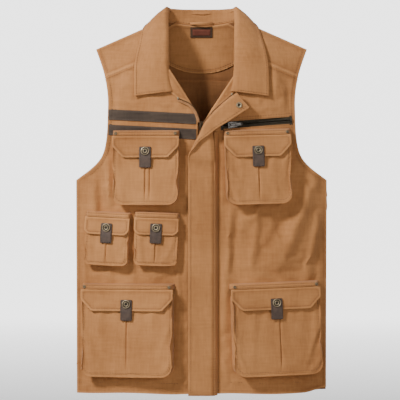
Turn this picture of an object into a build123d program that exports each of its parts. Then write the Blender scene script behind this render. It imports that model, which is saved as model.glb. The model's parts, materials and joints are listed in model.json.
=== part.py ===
from build123d import *

import math
import os
from dataclasses import dataclass

# Fishing vest, hanging from the loop inside its back neck.  Millimetres, +Z up, the fronts face -Y,
# +X is the wearer's left.  Heights are measured up from the hem while the model is laid out, and
# save() moves every piece so that the origin lies where a peg bears in the hanger loop.

# ---- cloth and overall size -------------------------------------------------------------------
FABRIC = 2.4  # a panel with its turned seams and wrinkles
LINING = 1.2  # facings, bindings and tape behind a panel
BODY_LENGTH = 737.0  # hem up to the neck end of the shoulder seam
HALF_WIDTH = 253.0  # centre front to the side seam
CHEST_DEPTH = 42.0  # how far the front and the back each stand off the side seams
FULLNESS = 3  # power of the curve across the chest
SHOULDER_RUN = 200.0  # length below the shoulder over which the depth builds up
SHOULDER_FULLNESS = 4
SHOULDER_SLOPE = 0.441
NECK_ROUND = 15.0

# ---- shoulder, neck and armhole ---------------------------------------------------------------
SHOULDER_NECK = 113.0  # where the collar meets the shoulder
SHOULDER_IN = 40.0  # side seam in to the shoulder tip
ARMHOLE_IN = 65.0  # side seam in to the narrowest part of the chest
ARMHOLE_DROP = 308.0  # neck end of the shoulder down to the underarm
ARMHOLE_FACING = 10.0
NECK_HALF = 76.0
NECK_SEAM_RISE = 6.0
STAND_HEIGHT = 34.0
YOKE_DROP = 73.0
YOKE_SLOPE = 0.41
YOKE_AT = 131.0
BACK_YOKE_DROP = 105.0
HALF_MOON_DROP = 90.0
HALF_MOON_SIDE_DROP = 69.0
HALF_MOON_THICK = 1.4
COLLAR_TIP_OUT = 134.0
COLLAR_TIP_DROP = 141.0
COLLAR_END_OUT = 62.0
COLLAR_END_DROP = 131.0
COLLAR_LIFT = 6.0
SEAM_GAP = 0.3

# ---- centre front -----------------------------------------------------------------------------
V_DROP = 199.0  # neck end of the shoulder down to the zip slider
FRONT_EDGE = 8.0  # half the gap that shows the zip
HEM_FACING = 23.0
STORM_LEFT = -29.0
STORM_SEWN = 24.7
STORM_SEAM_WIDTH = 6.3
STORM_LIFT = 6.2
STORM_BOTTOM = -1.0
TURNED_DROP = 282.0  # neck end of the shoulder down to where the storm flap turns out
TURNED_LIFT = 14.0
SNAP_STEP = 142.0
SNAP_FIRST = 16.0
SNAP_LINE = -14.0

# ---- zips ---------------------------------------------------------------------------------------
TOOTH_REACH = 2.2
TOOTH_THICK = 2.4
TOOTH_SLIT = 1.4
TAPE_WIDTH = 18.0
TAPE_THICK = 0.8
SLIDER_LENGTH = 18.0
SLIDER_HALF = 6.4
SLIDER_PLATE = 1.2
SLIDER_CLEAR = 0.4
PULL_LENGTH = 24.0
PULL_HALF = 2.8
PULL_THICK = 1.4
EAR = 1.2
EYE_RADIUS = 1.7
PIN_RADIUS = 0.7
CHEST_ZIP_IN = 42.0
CHEST_ZIP_LENGTH = 136.0
CHEST_ZIP_SLOPE = 0.081
CHEST_ZIP_HALF = 7.0
CHEST_SLIDER_IN = 20.0
CHEST_BAG_DROP = 312.0  # neck end of the shoulder down to the bottom of the bag behind the chest zip
CHEST_BAG_DEPTH = 2.0
CHEST_BAG_BEHIND = 7.0  # the slider runs between the bag and the front
ZIP_BOTTOM = 10.0
ZIP_BOX = 8.0

# ---- webbing, label and loop ------------------------------------------------------------------
WEBBING = 21.0
WEBBING_GAP = 9.5
WEBBING_THICK = 1.6
WEBBING_SLOPE = -0.054
WEBBING_DROP = 166.0
LABEL_WIDTH = 45.0
LABEL_HEIGHT = 21.0
LABEL_THICK = 1.0
LOOP_HALF = 23.0
LOOP_BOW = 9.0
LOOP_WIDTH = 5.0
LOOP_THICK = 1.2
LOOP_ABOVE_SEAM = 1.8

# ---- pockets ------------------------------------------------------------------------------------
HEADING = 10.0  # sewn band above each flap's fold
FOLD_GAP = 0.8  # the sewn band above the fold clears the flap that turns on it
MOUTH = 7.0
MOUTH_BELOW = 12.0  # the bag's open edge lies this far below the fold, behind the flap
BAG_WALL = 1.2
FLAP_GAP = 2.0
FLAP_THICK = 2.4
TAB_THICK = 2.2
TAB_WIDTH = 24.0
TAB_UP = 9.0
SNAP_BORE = 2.6
SNAP_SHANK = 4.0
SNAP_CAP = 8.4
SNAP_CAP_THICK = 1.8
SNAP_SOCKET = 6.0
STUD_RADIUS = 2.2
STUD_FOOT = 5.0
RIVET_RADIUS = 3.4
RIVET_SHANK = 1.2
RIVET_DEEP = 3.0
RIVET_IN = 7.0
CHEST_POCKET_IN = 44.0  # centre front to the chest pockets
CHEST_POCKET_SIDE = 11.0  # armhole to the chest pockets
LOWER_POCKET_IN = 54.0
LOWER_POCKET_SIDE = 15.0
SMALL_POCKET_IN = 45.0
SMALL_POCKET_SIDE = 24.0
SMALL_POCKET_GAP = 8.0
CHEST_POCKET_DROP = 210.0
CHEST_POCKET_HEIGHT = 146.0
SMALL_POCKET_HEIGHT = 104.0
LOWER_POCKET_HEIGHT = 182.0
SMALL_BELOW = 19.0
LOWER_BELOW = 38.0

UP = Vector(0, 0, 1)


def below(drop):
    """Height of a point this far below the neck end of the shoulder seam."""
    return BODY_LENGTH - drop


# ---- body form ----------------------------------------------------------------------------------
def shoulder_height(x):
    """Height of the shoulder line at x; it runs on, rounded, over the neck."""
    reach = math.hypot(SHOULDER_NECK, NECK_ROUND) - math.hypot(x, NECK_ROUND)
    return BODY_LENGTH + SHOULDER_SLOPE * reach


def stand_off(x, z):
    """Distance of the cloth's inner side from the plane through both side seams."""
    across = 1 - abs(x / HALF_WIDTH) ** FULLNESS
    fall = min((shoulder_height(x) - z) / SHOULDER_RUN, 1)
    if fall < 0:
        return CHEST_DEPTH * across * SHOULDER_FULLNESS * fall
    return CHEST_DEPTH * across * (1 - (1 - fall) ** SHOULDER_FULLNESS)


def form_face(side):
    """The inner side of the front (side -1) or the back (side +1) as one smooth face."""
    columns = [HALF_WIDTH * 1.06 * (i / 16 - 1) for i in range(33)]
    top = shoulder_height(0) + 15
    rows = [-20 + (top + 20) * i / 40 for i in range(41)]
    grid = [[Vector(x, side * stand_off(x, z), z) for x in columns] for z in rows]
    return Face.make_surface_from_array_of_points(grid, tol=0.01)


FORM = {side: form_face(side) for side in (-1, 1)}


def layer(side, low, high, outline):
    """Cloth between two distances outside the form, cut to an outline seen from the front."""
    face = FORM[side].moved(Location((0, side * low, 0)))
    sheet = Solid.extrude(face, Vector(0, side * (high - low), 0))
    return sheet & outline


def core(side, offset):
    """Everything from this distance outside the form inwards, to cut pieces that lie on it."""
    face = FORM[side].moved(Location((0, side * offset, 0)))
    return Solid.extrude(face, Vector(0, -side * 90, 0))


def prism(*edges):
    """A column along Y over a closed outline in x and z."""
    face = Plane.XZ * make_face(Curve() + list(edges))
    return extrude(face, amount=400, both=True)


def polygon(*points):
    return prism(Polyline(*points, close=True))


def ribbon(points, low, high):
    """A strip beside a line of points, from low to high to the left of its direction."""
    edges = []
    for distance in (low, high):
        line = []
        for i, (x, z) in enumerate(points):
            before = points[max(i - 1, 0)]
            after = points[min(i + 1, len(points) - 1)]
            dx, dz = after[0] - before[0], after[1] - before[1]
            size = math.hypot(dx, dz)
            line.append((x - dz / size * distance, z + dx / size * distance))
        edges.append(line)
    return polygon(*edges[0], *reversed(edges[1]))


def on_front(x, z, offset=FABRIC):
    return Vector(x, -stand_off(x, z) - offset, z)


# ---- outlines -----------------------------------------------------------------------------------
def armhole_points(side, inset=0.0):
    """Shoulder tip to underarm, as points seen from the front; inset moves them into the chest."""
    tip = HALF_WIDTH - SHOULDER_IN
    narrow = HALF_WIDTH - ARMHOLE_IN
    top = shoulder_height(tip)
    under = below(ARMHOLE_DROP)
    deep = top - under
    return [
        (side * (tip - inset), top + (1 if inset else 0)),
        (side * (narrow + 6 - inset), under + 0.78 * deep),
        (side * (narrow - inset), under + 0.54 * deep),
        (side * (narrow + 11 - inset), under + 0.19 * deep),
        (side * (HALF_WIDTH - inset * 0.4), under - inset),
    ]


def half_outline(side, front_edge, low_left, shoulder_in):
    """Half of the body: along the centre edge, the shoulder, the armhole, the side and the hem."""
    arm = armhole_points(side)
    hem_end = (side * (HALF_WIDTH - 2), 0)
    return prism(
        Polyline(hem_end, low_left, *front_edge, (side * shoulder_in, shoulder_height(shoulder_in)), arm[0]),
        Spline(*arm),
        Line(arm[-1], hem_end),
    )


def yoke_seam(x):
    return below(YOKE_DROP) - YOKE_SLOPE * (abs(x) - YOKE_AT)


ROLL = {
    -1: [(-FRONT_EDGE, below(V_DROP + 10)), (-22, below(152)), (-66, below(83)), (-72, below(48))],
    1: [(FRONT_EDGE, below(V_DROP + 10)), (70, below(90)), (75, below(48))],
}
ZIP_EDGE = {
    -1: [(-10, below(181)), (-15, below(167)), (-24, below(155)), (-45, below(146)), (-60, below(135))],
    1: [(12, below(185)), (17, below(176)), (27, below(165)), (46, below(150)), (61, below(137))],
}


def front_outline(side):
    edge = ROLL[side]
    return half_outline(side, edge, (side * FRONT_EDGE, 0), NECK_HALF)


def yoke_cut(side):
    """Everything above the front yoke seam."""
    far = HALF_WIDTH + 20
    return polygon(
        (0, yoke_seam(0)), (side * far, yoke_seam(far)), (side * far, BODY_LENGTH + 80), (0, BODY_LENGTH + 80)
    )


def neck_edge():
    """The back neck seam, from the left shoulder to the right."""
    middle = BODY_LENGTH + NECK_SEAM_RISE
    return ThreePointArc(
        (NECK_HALF, shoulder_height(NECK_HALF)), (0, middle), (-NECK_HALF, shoulder_height(NECK_HALF))
    )


def back_outline():
    left, right = armhole_points(1), armhole_points(-1)
    hem = HALF_WIDTH - 2
    neck = neck_edge()
    return prism(
        neck,
        Polyline((-NECK_HALF, shoulder_height(NECK_HALF)), right[0]),
        Spline(*right),
        Polyline(right[-1], (-hem, 0), (hem, 0), left[-1]),
        Spline(*reversed(left)),
        Line(left[0], (NECK_HALF, shoulder_height(NECK_HALF))),
    )


def above(z):
    far = HALF_WIDTH + 40
    return polygon((-far, z), (far, z), (far, BODY_LENGTH + 90), (-far, BODY_LENGTH + 90))


# ---- body panels --------------------------------------------------------------------------------
def panels():
    back = layer(1, 0, FABRIC, back_outline())
    yoke_part = above(below(BACK_YOKE_DROP))
    pieces = {"back_panel": back - yoke_part, "back_yoke": back & yoke_part}
    for side, name in ((-1, "right"), (1, "left")):
        front = layer(-1, 0, FABRIC, front_outline(side))
        pieces[name + "_shoulder_yoke"] = front & yoke_cut(side)
        pieces[name + "_front"] = front - yoke_cut(side)
    return pieces


def armhole_facings():
    """A strip inside each armhole edge, on the front and on the back."""
    pieces = {}
    for side, name in ((-1, "right"), (1, "left")):
        outer, inner = armhole_points(side), armhole_points(side, ARMHOLE_FACING)
        strip = prism(
            Spline(*outer), Line(outer[-1], inner[-1]), Spline(*reversed(inner)), Line(inner[0], outer[0])
        )
        strip = strip - above(shoulder_height(HALF_WIDTH - SHOULDER_IN) - 12)
        clear_side = polygon(
            (side * (HALF_WIDTH - 12), 0), (side * (HALF_WIDTH + 20), 0),
            (side * (HALF_WIDTH + 20), BODY_LENGTH), (side * (HALF_WIDTH - 12), BODY_LENGTH),
        )
        strip = strip - clear_side
        pieces[name + "_armhole_facing"] = [layer(face, -LINING, 0, strip) for face in (-1, 1)]
    return pieces


def hem_facing():
    """The turned hem inside the two fronts and the back."""
    end = HALF_WIDTH - 14
    zip_side = TAPE_WIDTH + 4
    strips = [layer(1, -LINING, 0, polygon((-end, 0.5), (end, 0.5), (end, HEM_FACING), (-end, HEM_FACING)))]
    for side in (-1, 1):
        box = polygon(
            (side * zip_side, 0.5), (side * end, 0.5), (side * end, HEM_FACING), (side * zip_side, HEM_FACING)
        )
        strips.append(layer(-1, -LINING, 0, box))
    return strips


# ---- neck ---------------------------------------------------------------------------------------
def neck_facing():
    """The half-moon lining of the back neck, from the neck seam down to its curved edge."""
    side_z = below(HALF_MOON_SIDE_DROP)
    low = below(HALF_MOON_DROP)
    top_side = shoulder_height(NECK_HALF) - 16
    outline = prism(
        ThreePointArc((NECK_HALF - 3, top_side), (0, BODY_LENGTH + NECK_SEAM_RISE - 1), (3 - NECK_HALF, top_side)),
        Line((3 - NECK_HALF, top_side), (-NECK_HALF + 6, side_z)),
        ThreePointArc((-NECK_HALF + 6, side_z), (0, low), (NECK_HALF - 6, side_z)),
        Line((NECK_HALF - 6, side_z), (NECK_HALF - 3, top_side)),
    )
    return layer(1, -HALF_MOON_THICK, 0, outline)


def back_neck_depth():
    """How far behind the side seams the back neck seam lies."""
    return stand_off(0, BODY_LENGTH + NECK_SEAM_RISE)


def collar_stand():
    """The upright band around the back of the neck."""
    half_x, half_y = NECK_HALF - 2, back_neck_depth() + FABRIC
    ring = Ellipse(half_x, half_y) - Ellipse(half_x - FABRIC, half_y - FABRIC)
    low, high = BODY_LENGTH + NECK_SEAM_RISE, BODY_LENGTH + NECK_SEAM_RISE + STAND_HEIGHT
    band = extrude(Pos(0, 0, low - 30) * ring, amount=high - low + 30)
    rear = Pos(0, half_y + 2, 0) * Box(400, 2 * half_y, 3000)
    side_low = shoulder_height(NECK_HALF) + SEAM_GAP
    over_seam = prism(
        ThreePointArc((NECK_HALF, side_low), (0, low + SEAM_GAP), (-NECK_HALF, side_low)),
        Polyline((-NECK_HALF, side_low), (-NECK_HALF, high + 9), (NECK_HALF, high + 9), (NECK_HALF, side_low)),
    )
    return band & rear & over_seam


def collar_fall():
    """The turned-down collar: one sheet from the fold round the neck to the two long points."""
    top = BODY_LENGTH + NECK_SEAM_RISE + STAND_HEIGHT
    rear = back_neck_depth() + FABRIC
    lift = FABRIC + COLLAR_LIFT

    def lying(x, drop, more=0.0):
        z = below(drop)
        return (x, -stand_off(x, z) - lift - more, z)

    tip = lying(COLLAR_TIP_OUT, COLLAR_TIP_DROP)
    fold = [
        (0, rear + 3.2, top),
        (NECK_HALF * 0.62, rear * 0.82 + 3, top),
        (NECK_HALF * 0.98, rear * 0.15, top - 2),
        (NECK_HALF - 2, -stand_off(NECK_HALF, below(20)) - lift, below(16)),
        lying(NECK_HALF - 3, 64),
        lying(NECK_HALF - 9, 110),
        lying(COLLAR_END_OUT, COLLAR_END_DROP),
    ]
    edge = [
        (0, rear + 17, below(4)),
        (NECK_HALF * 0.85, rear + 9, below(-4)),
        (SHOULDER_NECK, 2, shoulder_height(SHOULDER_NECK) + COLLAR_LIFT),
        lying(SHOULDER_NECK + 12, 30),
        lying(COLLAR_TIP_OUT, 73),
        lying(COLLAR_TIP_OUT, 110),
        tip,
    ]

    def around(line):
        mirrored = [(-x, y, z) for x, y, z in reversed(line[1:])]
        return Spline(*mirrored, *line)

    sheet = Face.make_surface_from_curves(around(fold).edge(), around(edge).edge())
    return Solid.thicken(sheet, FABRIC, normal_override=(0, 0, 1))


def label_depth():
    return -HALF_MOON_THICK - LABEL_THICK


def neck_label():
    """A plain sewn label under the back neck seam."""
    high = BODY_LENGTH + NECK_SEAM_RISE - 3
    half = LABEL_WIDTH / 2
    box = polygon((-half, high - LABEL_HEIGHT), (half, high - LABEL_HEIGHT), (half, high), (-half, high))
    return layer(1, label_depth(), -HALF_MOON_THICK, box)


def loop_place():
    """Where a peg bears: the middle of the loop's bow, at its upper edge."""
    seam = back_neck_depth() - FABRIC
    return Vector(0, seam - LOOP_BOW / 2, BODY_LENGTH + NECK_SEAM_RISE + LOOP_ABOVE_SEAM + LOOP_WIDTH)


def hanger_loop():
    """A narrow strap that bows forward from the back neck seam."""
    seam = back_neck_depth() - FABRIC
    low = BODY_LENGTH + NECK_SEAM_RISE + LOOP_ABOVE_SEAM
    outer = ThreePointArc((-LOOP_HALF, seam), (0, seam - LOOP_BOW), (LOOP_HALF, seam))
    inner = ThreePointArc(
        (LOOP_HALF - 2 * LOOP_THICK, seam), (0, seam - LOOP_BOW + LOOP_THICK), (2 * LOOP_THICK - LOOP_HALF, seam)
    )
    face = make_face(
        Curve() + [outer, Line(outer @ 1, inner @ 0), inner, Line(inner @ 1, outer @ 0)]
    )
    return extrude(Pos(0, 0, low) * face, amount=LOOP_WIDTH)


# ---- snaps --------------------------------------------------------------------------------------
def snap_socket(gap, through, cap_radius):
    """Female half of a snap: a tube through the flap, a ring under it and a cap ring on it."""
    low = 0.6
    under = Pos(0, 0, low) * extrude(Circle(SNAP_SOCKET) - Circle(SNAP_BORE), amount=gap - low)
    tube = Pos(0, 0, gap) * extrude(Circle(SNAP_SHANK) - Circle(SNAP_BORE), amount=through)
    profile = make_face(
        Polyline(
            (SNAP_BORE, 0), (cap_radius, 0), (cap_radius, SNAP_CAP_THICK * 0.55),
            (cap_radius - 1.2, SNAP_CAP_THICK), (SNAP_SHANK + 0.8, SNAP_CAP_THICK * 0.6), (SNAP_BORE, 0.9),
            close=True,
        )
    )
    cap = Pos(0, 0, gap + through) * revolve(Plane.XZ * profile, Axis.Z)
    return under + tube + cap


def snap_stud(gap):
    """Male half: a foot on the cloth and a round post that reaches into the socket."""
    foot = extrude(Circle(STUD_FOOT), amount=0.4)
    post = extrude(Circle(STUD_RADIUS), amount=gap - 0.3)
    return foot + post


# ---- pockets ------------------------------------------------------------------------------------
@dataclass
class Pocket:
    """One patch pocket: its edges, top height, sizes and how its corners are finished."""

    name: str
    side: int
    inner: float
    outer: float
    top: float
    height: float
    flap: float
    rise: float
    snap_drop: float
    tab: float
    bulge: float
    corner: float
    chamfer: tuple
    riveted: bool

    @property
    def width(self):
        a, b = self.ends()
        return (b - a).length

    def ends(self):
        """The two ends of the flap's fold, left one first, on the cloth."""
        points = [
            on_front(self.side * self.inner, self.top - HEADING),
            on_front(self.side * self.outer, self.top - HEADING + self.rise),
        ]
        return sorted(points, key=lambda p: p.X)

    def plane(self):
        """Flat frame of the pocket: x along the fold, y up, z outward, clear of the cloth's swell."""
        a, b = self.ends()
        along = (b - a).normalized()
        out = along.cross(UP).normalized()
        swell = max(
            (on_front(a.X + (b.X - a.X) * i / 20, a.Z + (b.Z - a.Z) * i / 20) - a).dot(out) for i in range(21)
        )
        return Plane(origin=(a + b) * 0.5 + out * swell, x_dir=along, z_dir=out)

    def front_plane(self, lift=0.0):
        """The bag's sloping front, hinged out at the bottom, moved outward by lift."""
        flat = self.plane()
        lean = math.atan2(self.bulge, self.height - HEADING)
        out = flat.z_dir * math.cos(lean) + flat.y_dir * math.sin(lean)
        return Plane(origin=flat.from_local_coords((0, 0, MOUTH)) + out * lift, x_dir=flat.x_dir, z_dir=out)

    def hinge(self):
        """Pivot point and direction of the flap's fold."""
        frame = self.front_plane(FLAP_GAP + FLAP_THICK)
        return frame.origin, frame.x_dir * -1


def pocket_list():
    """The six pockets; each edge is set from the centre front, the armhole or the side seam."""
    chest_out = HALF_WIDTH - ARMHOLE_IN - CHEST_POCKET_SIDE
    lower_out = HALF_WIDTH - LOWER_POCKET_SIDE
    small_out = HALF_WIDTH - SMALL_POCKET_SIDE
    small_width = (small_out - SMALL_POCKET_IN - SMALL_POCKET_GAP) / 2
    chest_top = below(CHEST_POCKET_DROP)
    small_top = chest_top - CHEST_POCKET_HEIGHT - SMALL_BELOW
    lower_top = small_top - SMALL_POCKET_HEIGHT - LOWER_BELOW
    big = dict(corner=21.0, chamfer=(22.0, 23.0), riveted=True, bulge=13.0, tab=42.0)
    small = dict(corner=11.0, chamfer=(8.0, 8.0), riveted=False, bulge=8.0, tab=40.0, flap=35.0, snap_drop=21.0)
    chest = dict(height=CHEST_POCKET_HEIGHT, flap=43.0, snap_drop=31.0, top=chest_top)
    lower = dict(height=LOWER_POCKET_HEIGHT, flap=44.0, snap_drop=30.0, top=lower_top)
    compact = dict(height=SMALL_POCKET_HEIGHT, top=small_top)
    split = SMALL_POCKET_IN + small_width
    return [
        Pocket("right_chest", -1, CHEST_POCKET_IN, chest_out, rise=0.0, **chest, **big),
        Pocket("left_chest", 1, CHEST_POCKET_IN, chest_out, rise=4.0, **chest, **big),
        Pocket("right_inner_small", -1, SMALL_POCKET_IN, split, rise=3.0, **compact, **small),
        Pocket("right_outer_small", -1, split + SMALL_POCKET_GAP, small_out, rise=4.0, **compact, **small),
        Pocket("right_lower", -1, LOWER_POCKET_IN, lower_out, rise=0.0, **lower, **big),
        Pocket("left_lower", 1, LOWER_POCKET_IN + 2, lower_out - 4, rise=6.0, **lower, **big),
    ]


def bag_outline(width, top, bottom, corner):
    """Flat shape of a bag: square at the mouth, rounded at the bottom."""
    half = width / 2
    sketch = make_face(Polyline((-half, top), (half, top), (half, bottom), (-half, bottom), close=True))
    lower = sketch.vertices().sort_by(Axis.Y)[:2]
    return fillet(lower, corner)


def flap_outline(pocket):
    """Flat shape of a flap: straight fold, cut-off lower corners."""
    half = pocket.width / 2
    cut_x, cut_y = pocket.chamfer
    return make_face(
        Polyline(
            (-half, 0), (half, 0), (half, cut_y - pocket.flap), (half - cut_x, -pocket.flap),
            (cut_x - half, -pocket.flap), (-half, cut_y - pocket.flap), close=True,
        )
    )


def pocket_parts(pocket, body_core, under):
    """Bag, sewn heading, flap, tab, snap, stud and rivets of one pocket."""
    flat, front = pocket.plane(), pocket.front_plane()
    bottom = HEADING - pocket.height
    outer_shape = bag_outline(pocket.width - 3, -MOUTH_BELOW, bottom, pocket.corner)
    inner_shape = bag_outline(pocket.width - 3 - 2 * BAG_WALL, 6, bottom + BAG_WALL, pocket.corner - BAG_WALL)
    ahead = front * Pos(0, 0, 100) * Box(700, 700, 200)
    ahead_inner = pocket.front_plane(-BAG_WALL) * Pos(0, 0, 100) * Box(700, 700, 200)
    outer = flat * extrude(outer_shape, amount=60, both=True) - ahead
    inner = flat * extrude(inner_shape, amount=60, both=True) - ahead_inner
    bag = outer - inner - body_core
    for solid in under:
        bag = bag - solid

    lip = MOUTH + FLAP_GAP + FLAP_THICK
    half = pocket.width / 2
    strip = Pos(0, (HEADING + FOLD_GAP) / 2, 0) * Box(pocket.width, HEADING - FOLD_GAP, 60)
    strip = strip - Pos(0, 0, lip + 100) * Box(700, 700, 200)
    heading = (flat * strip) - body_core
    for solid in under:
        heading = heading - solid

    flap_frame = pocket.front_plane(FLAP_GAP)
    snap_at = Pos(0, -pocket.snap_drop, 0)
    hole = snap_at * Cylinder(SNAP_SHANK, 60)
    flap = flap_frame * (extrude(flap_outline(pocket), amount=FLAP_THICK) - hole)
    tab_frame = pocket.front_plane(FLAP_GAP + FLAP_THICK)
    tab_low = TAB_UP - pocket.tab
    tab_shape = Pos(0, -pocket.snap_drop + (TAB_UP + tab_low) / 2) * Rectangle(TAB_WIDTH, pocket.tab)
    tab = tab_frame * (extrude(tab_shape, amount=TAB_THICK) - hole)
    socket = front * snap_at * snap_socket(FLAP_GAP, FLAP_THICK + TAB_THICK, SNAP_CAP)
    stud = front * snap_at * snap_stud(FLAP_GAP)

    rivets = []
    if pocket.riveted:
        for x in (RIVET_IN - half, half - RIVET_IN):
            place = flat * Pos(x, HEADING / 2, lip)
            shank = place * Pos(0, 0, -RIVET_DEEP / 2) * Cylinder(RIVET_SHANK, RIVET_DEEP)
            heading = heading - shank
            rivets.append(place * rivet())
    return {"bag": bag, "flap": flap, "tab": tab, "snap": socket}, heading, stud, rivets


def rivet():
    """A domed rivet with a dimple and its shank."""
    profile = make_face(
        Polyline(
            (0, -RIVET_DEEP), (RIVET_SHANK, -RIVET_DEEP), (RIVET_SHANK, 0), (RIVET_RADIUS, 0),
            (RIVET_RADIUS, 0.5), (RIVET_RADIUS * 0.6, 1.5), (RIVET_RADIUS * 0.3, 0.8), (0, 0.8), close=True,
        )
    )
    return revolve(Plane.XZ * profile, Axis.Z)


# ---- zips ---------------------------------------------------------------------------------------
def zip_frame(centre, along):
    """Frame of a zip: y along the travel towards the open end, z outward, origin in the tape."""
    out = along.cross(Vector(0, 0, 1) if abs(along.Z) < 0.5 else Vector(-1, 0, 0)).normalized()
    if out.Y > 0:
        out = out * -1
    return Plane(origin=centre, x_dir=along.cross(out), z_dir=out)


def chain(length, width):
    """Tapes and tooth rails of a straight closed zip that runs from the origin along +y."""
    tapes, rails = [], []
    for side in (-1, 1):
        inner = TOOTH_SLIT / 2
        tape_in = inner + TOOTH_REACH
        middle = side * (tape_in + width) / 2
        tapes.append(Pos(middle, length / 2, 0) * Box(width - tape_in, length, TAPE_THICK))
        rail = Pos(side * (inner + TOOTH_REACH / 2), length / 2, 0) * Box(TOOTH_REACH, length, TOOTH_THICK)
        rails.append(rail)
    return tapes, rails


def slider_parts():
    """Slider body with its ears and pin, and the pull that swings on the pin."""
    reach = TOOTH_THICK / 2 + SLIDER_CLEAR
    plates = []
    for side in (-1, 1):
        z = side * (reach + SLIDER_PLATE / 2)
        plates.append(Pos(0, 0, z) * Box(2 * SLIDER_HALF, SLIDER_LENGTH, SLIDER_PLATE))
    post = Box(TOOTH_SLIT / 2, SLIDER_LENGTH * 0.3, 2 * reach + 0.2)
    body = plates[0] + plates[1] + post
    face = reach + SLIDER_PLATE
    pin_z = face + EYE_RADIUS + 0.5
    pin_y = SLIDER_LENGTH * 0.22
    ear_x = PULL_HALF + 0.4 + EAR / 2
    for side in (-1, 1):
        ear = Pos(side * ear_x, pin_y, face + (pin_z + 1 - face) / 2) * Box(EAR, 4, pin_z + 1 - face)
        body = body + ear
    pin = Pos(0, pin_y, pin_z) * Rot(0, 90, 0) * Cylinder(PIN_RADIUS, 2 * ear_x)
    body = body + pin
    tongue = Pos(0, 1.9 - PULL_LENGTH / 2, 0) * Box(2 * PULL_HALF, PULL_LENGTH, PULL_THICK)
    eye = Rot(0, 90, 0) * Cylinder(EYE_RADIUS, 2 * PULL_HALF)
    pull = tongue + eye - Rot(0, 90, 0) * Cylinder(PIN_RADIUS + SLIDER_CLEAR, 4 * PULL_HALF)
    slot = Pos(0, 7 - PULL_LENGTH, 0) * Cylinder(1.3, 4 * PULL_THICK)
    pull = Pos(0, pin_y, pin_z) * (pull - slot)
    return body, pull, Vector(0, pin_y, pin_z)


def front_zip_plane():
    return Plane(origin=on_front(0, 0, 0) + Vector(0, TAPE_THICK / 2 + 0.1, 0), x_dir=(1, 0, 0), z_dir=(0, -1, 0))


def front_zip():
    """Long separating zip: closed from the hem to the slider, open along the V above it."""
    frame = front_zip_plane()
    closed = below(V_DROP) - ZIP_BOTTOM
    tapes, rails = chain(closed, TAPE_WIDTH)
    place = frame * Pos(0, ZIP_BOTTOM, 0)
    tapes = [place * tape for tape in tapes]
    rails = [place * rail for rail in rails]
    stops = [place * Pos(0, -ZIP_BOX / 2 - 0.2, 0) * Box(ZIP_BOX, ZIP_BOX, TOOTH_THICK + 1)]
    for side in (-1, 1):
        line = ZIP_EDGE[side]
        turn = -side
        tapes.append(layer(-1, FABRIC, FABRIC + TAPE_THICK, ribbon(line, -1.0, turn * -7.0)))
        rails.append(layer(-1, FABRIC + 2.6, FABRIC + 4.6, ribbon(line, 0.0, turn * TOOTH_REACH)))
        end = on_front(*line[-1], FABRIC + 4.3) + Vector(side * 1.5, 0, 2.0)
        stops.append(Pos(end) * Box(3.0, 3.0, 2.4))
    return tapes, rails, stops


def lapels():
    """The front facings that the open V turns out, from the roll line to the zip's edge."""
    pieces = []
    for side in (-1, 1):
        roll, edge = ROLL[side], ZIP_EDGE[side]
        start = (edge[0][0] - side * 1.5, edge[0][1] + 1)
        inner = [(x, z) for x, z in roll[1:-1]]
        pieces.append(
            layer(-1, FABRIC + 1.0, FABRIC + 2.4, polygon(start, *inner, (side * 66, below(128)), *reversed(edge)))
        )
    return pieces


def chest_zip_plane():
    """Flat frame of the chest zip: y along the zip away from the centre front."""
    rise = CHEST_ZIP_SLOPE * CHEST_ZIP_LENGTH
    z = below(V_DROP)
    a = on_front(CHEST_ZIP_IN, z, FABRIC / 2)
    b = on_front(CHEST_ZIP_IN + CHEST_ZIP_LENGTH, z + rise, FABRIC / 2)
    along = (b - a).normalized()
    out = along.cross(UP).normalized()
    middle = on_front((a.X + b.X) / 2, (a.Z + b.Z) / 2, FABRIC / 2)
    lift = (middle - a).dot(out) / 2
    return Plane(origin=a + out * lift, x_dir=out.cross(along) * -1, z_dir=out), (b - a).length


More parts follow.
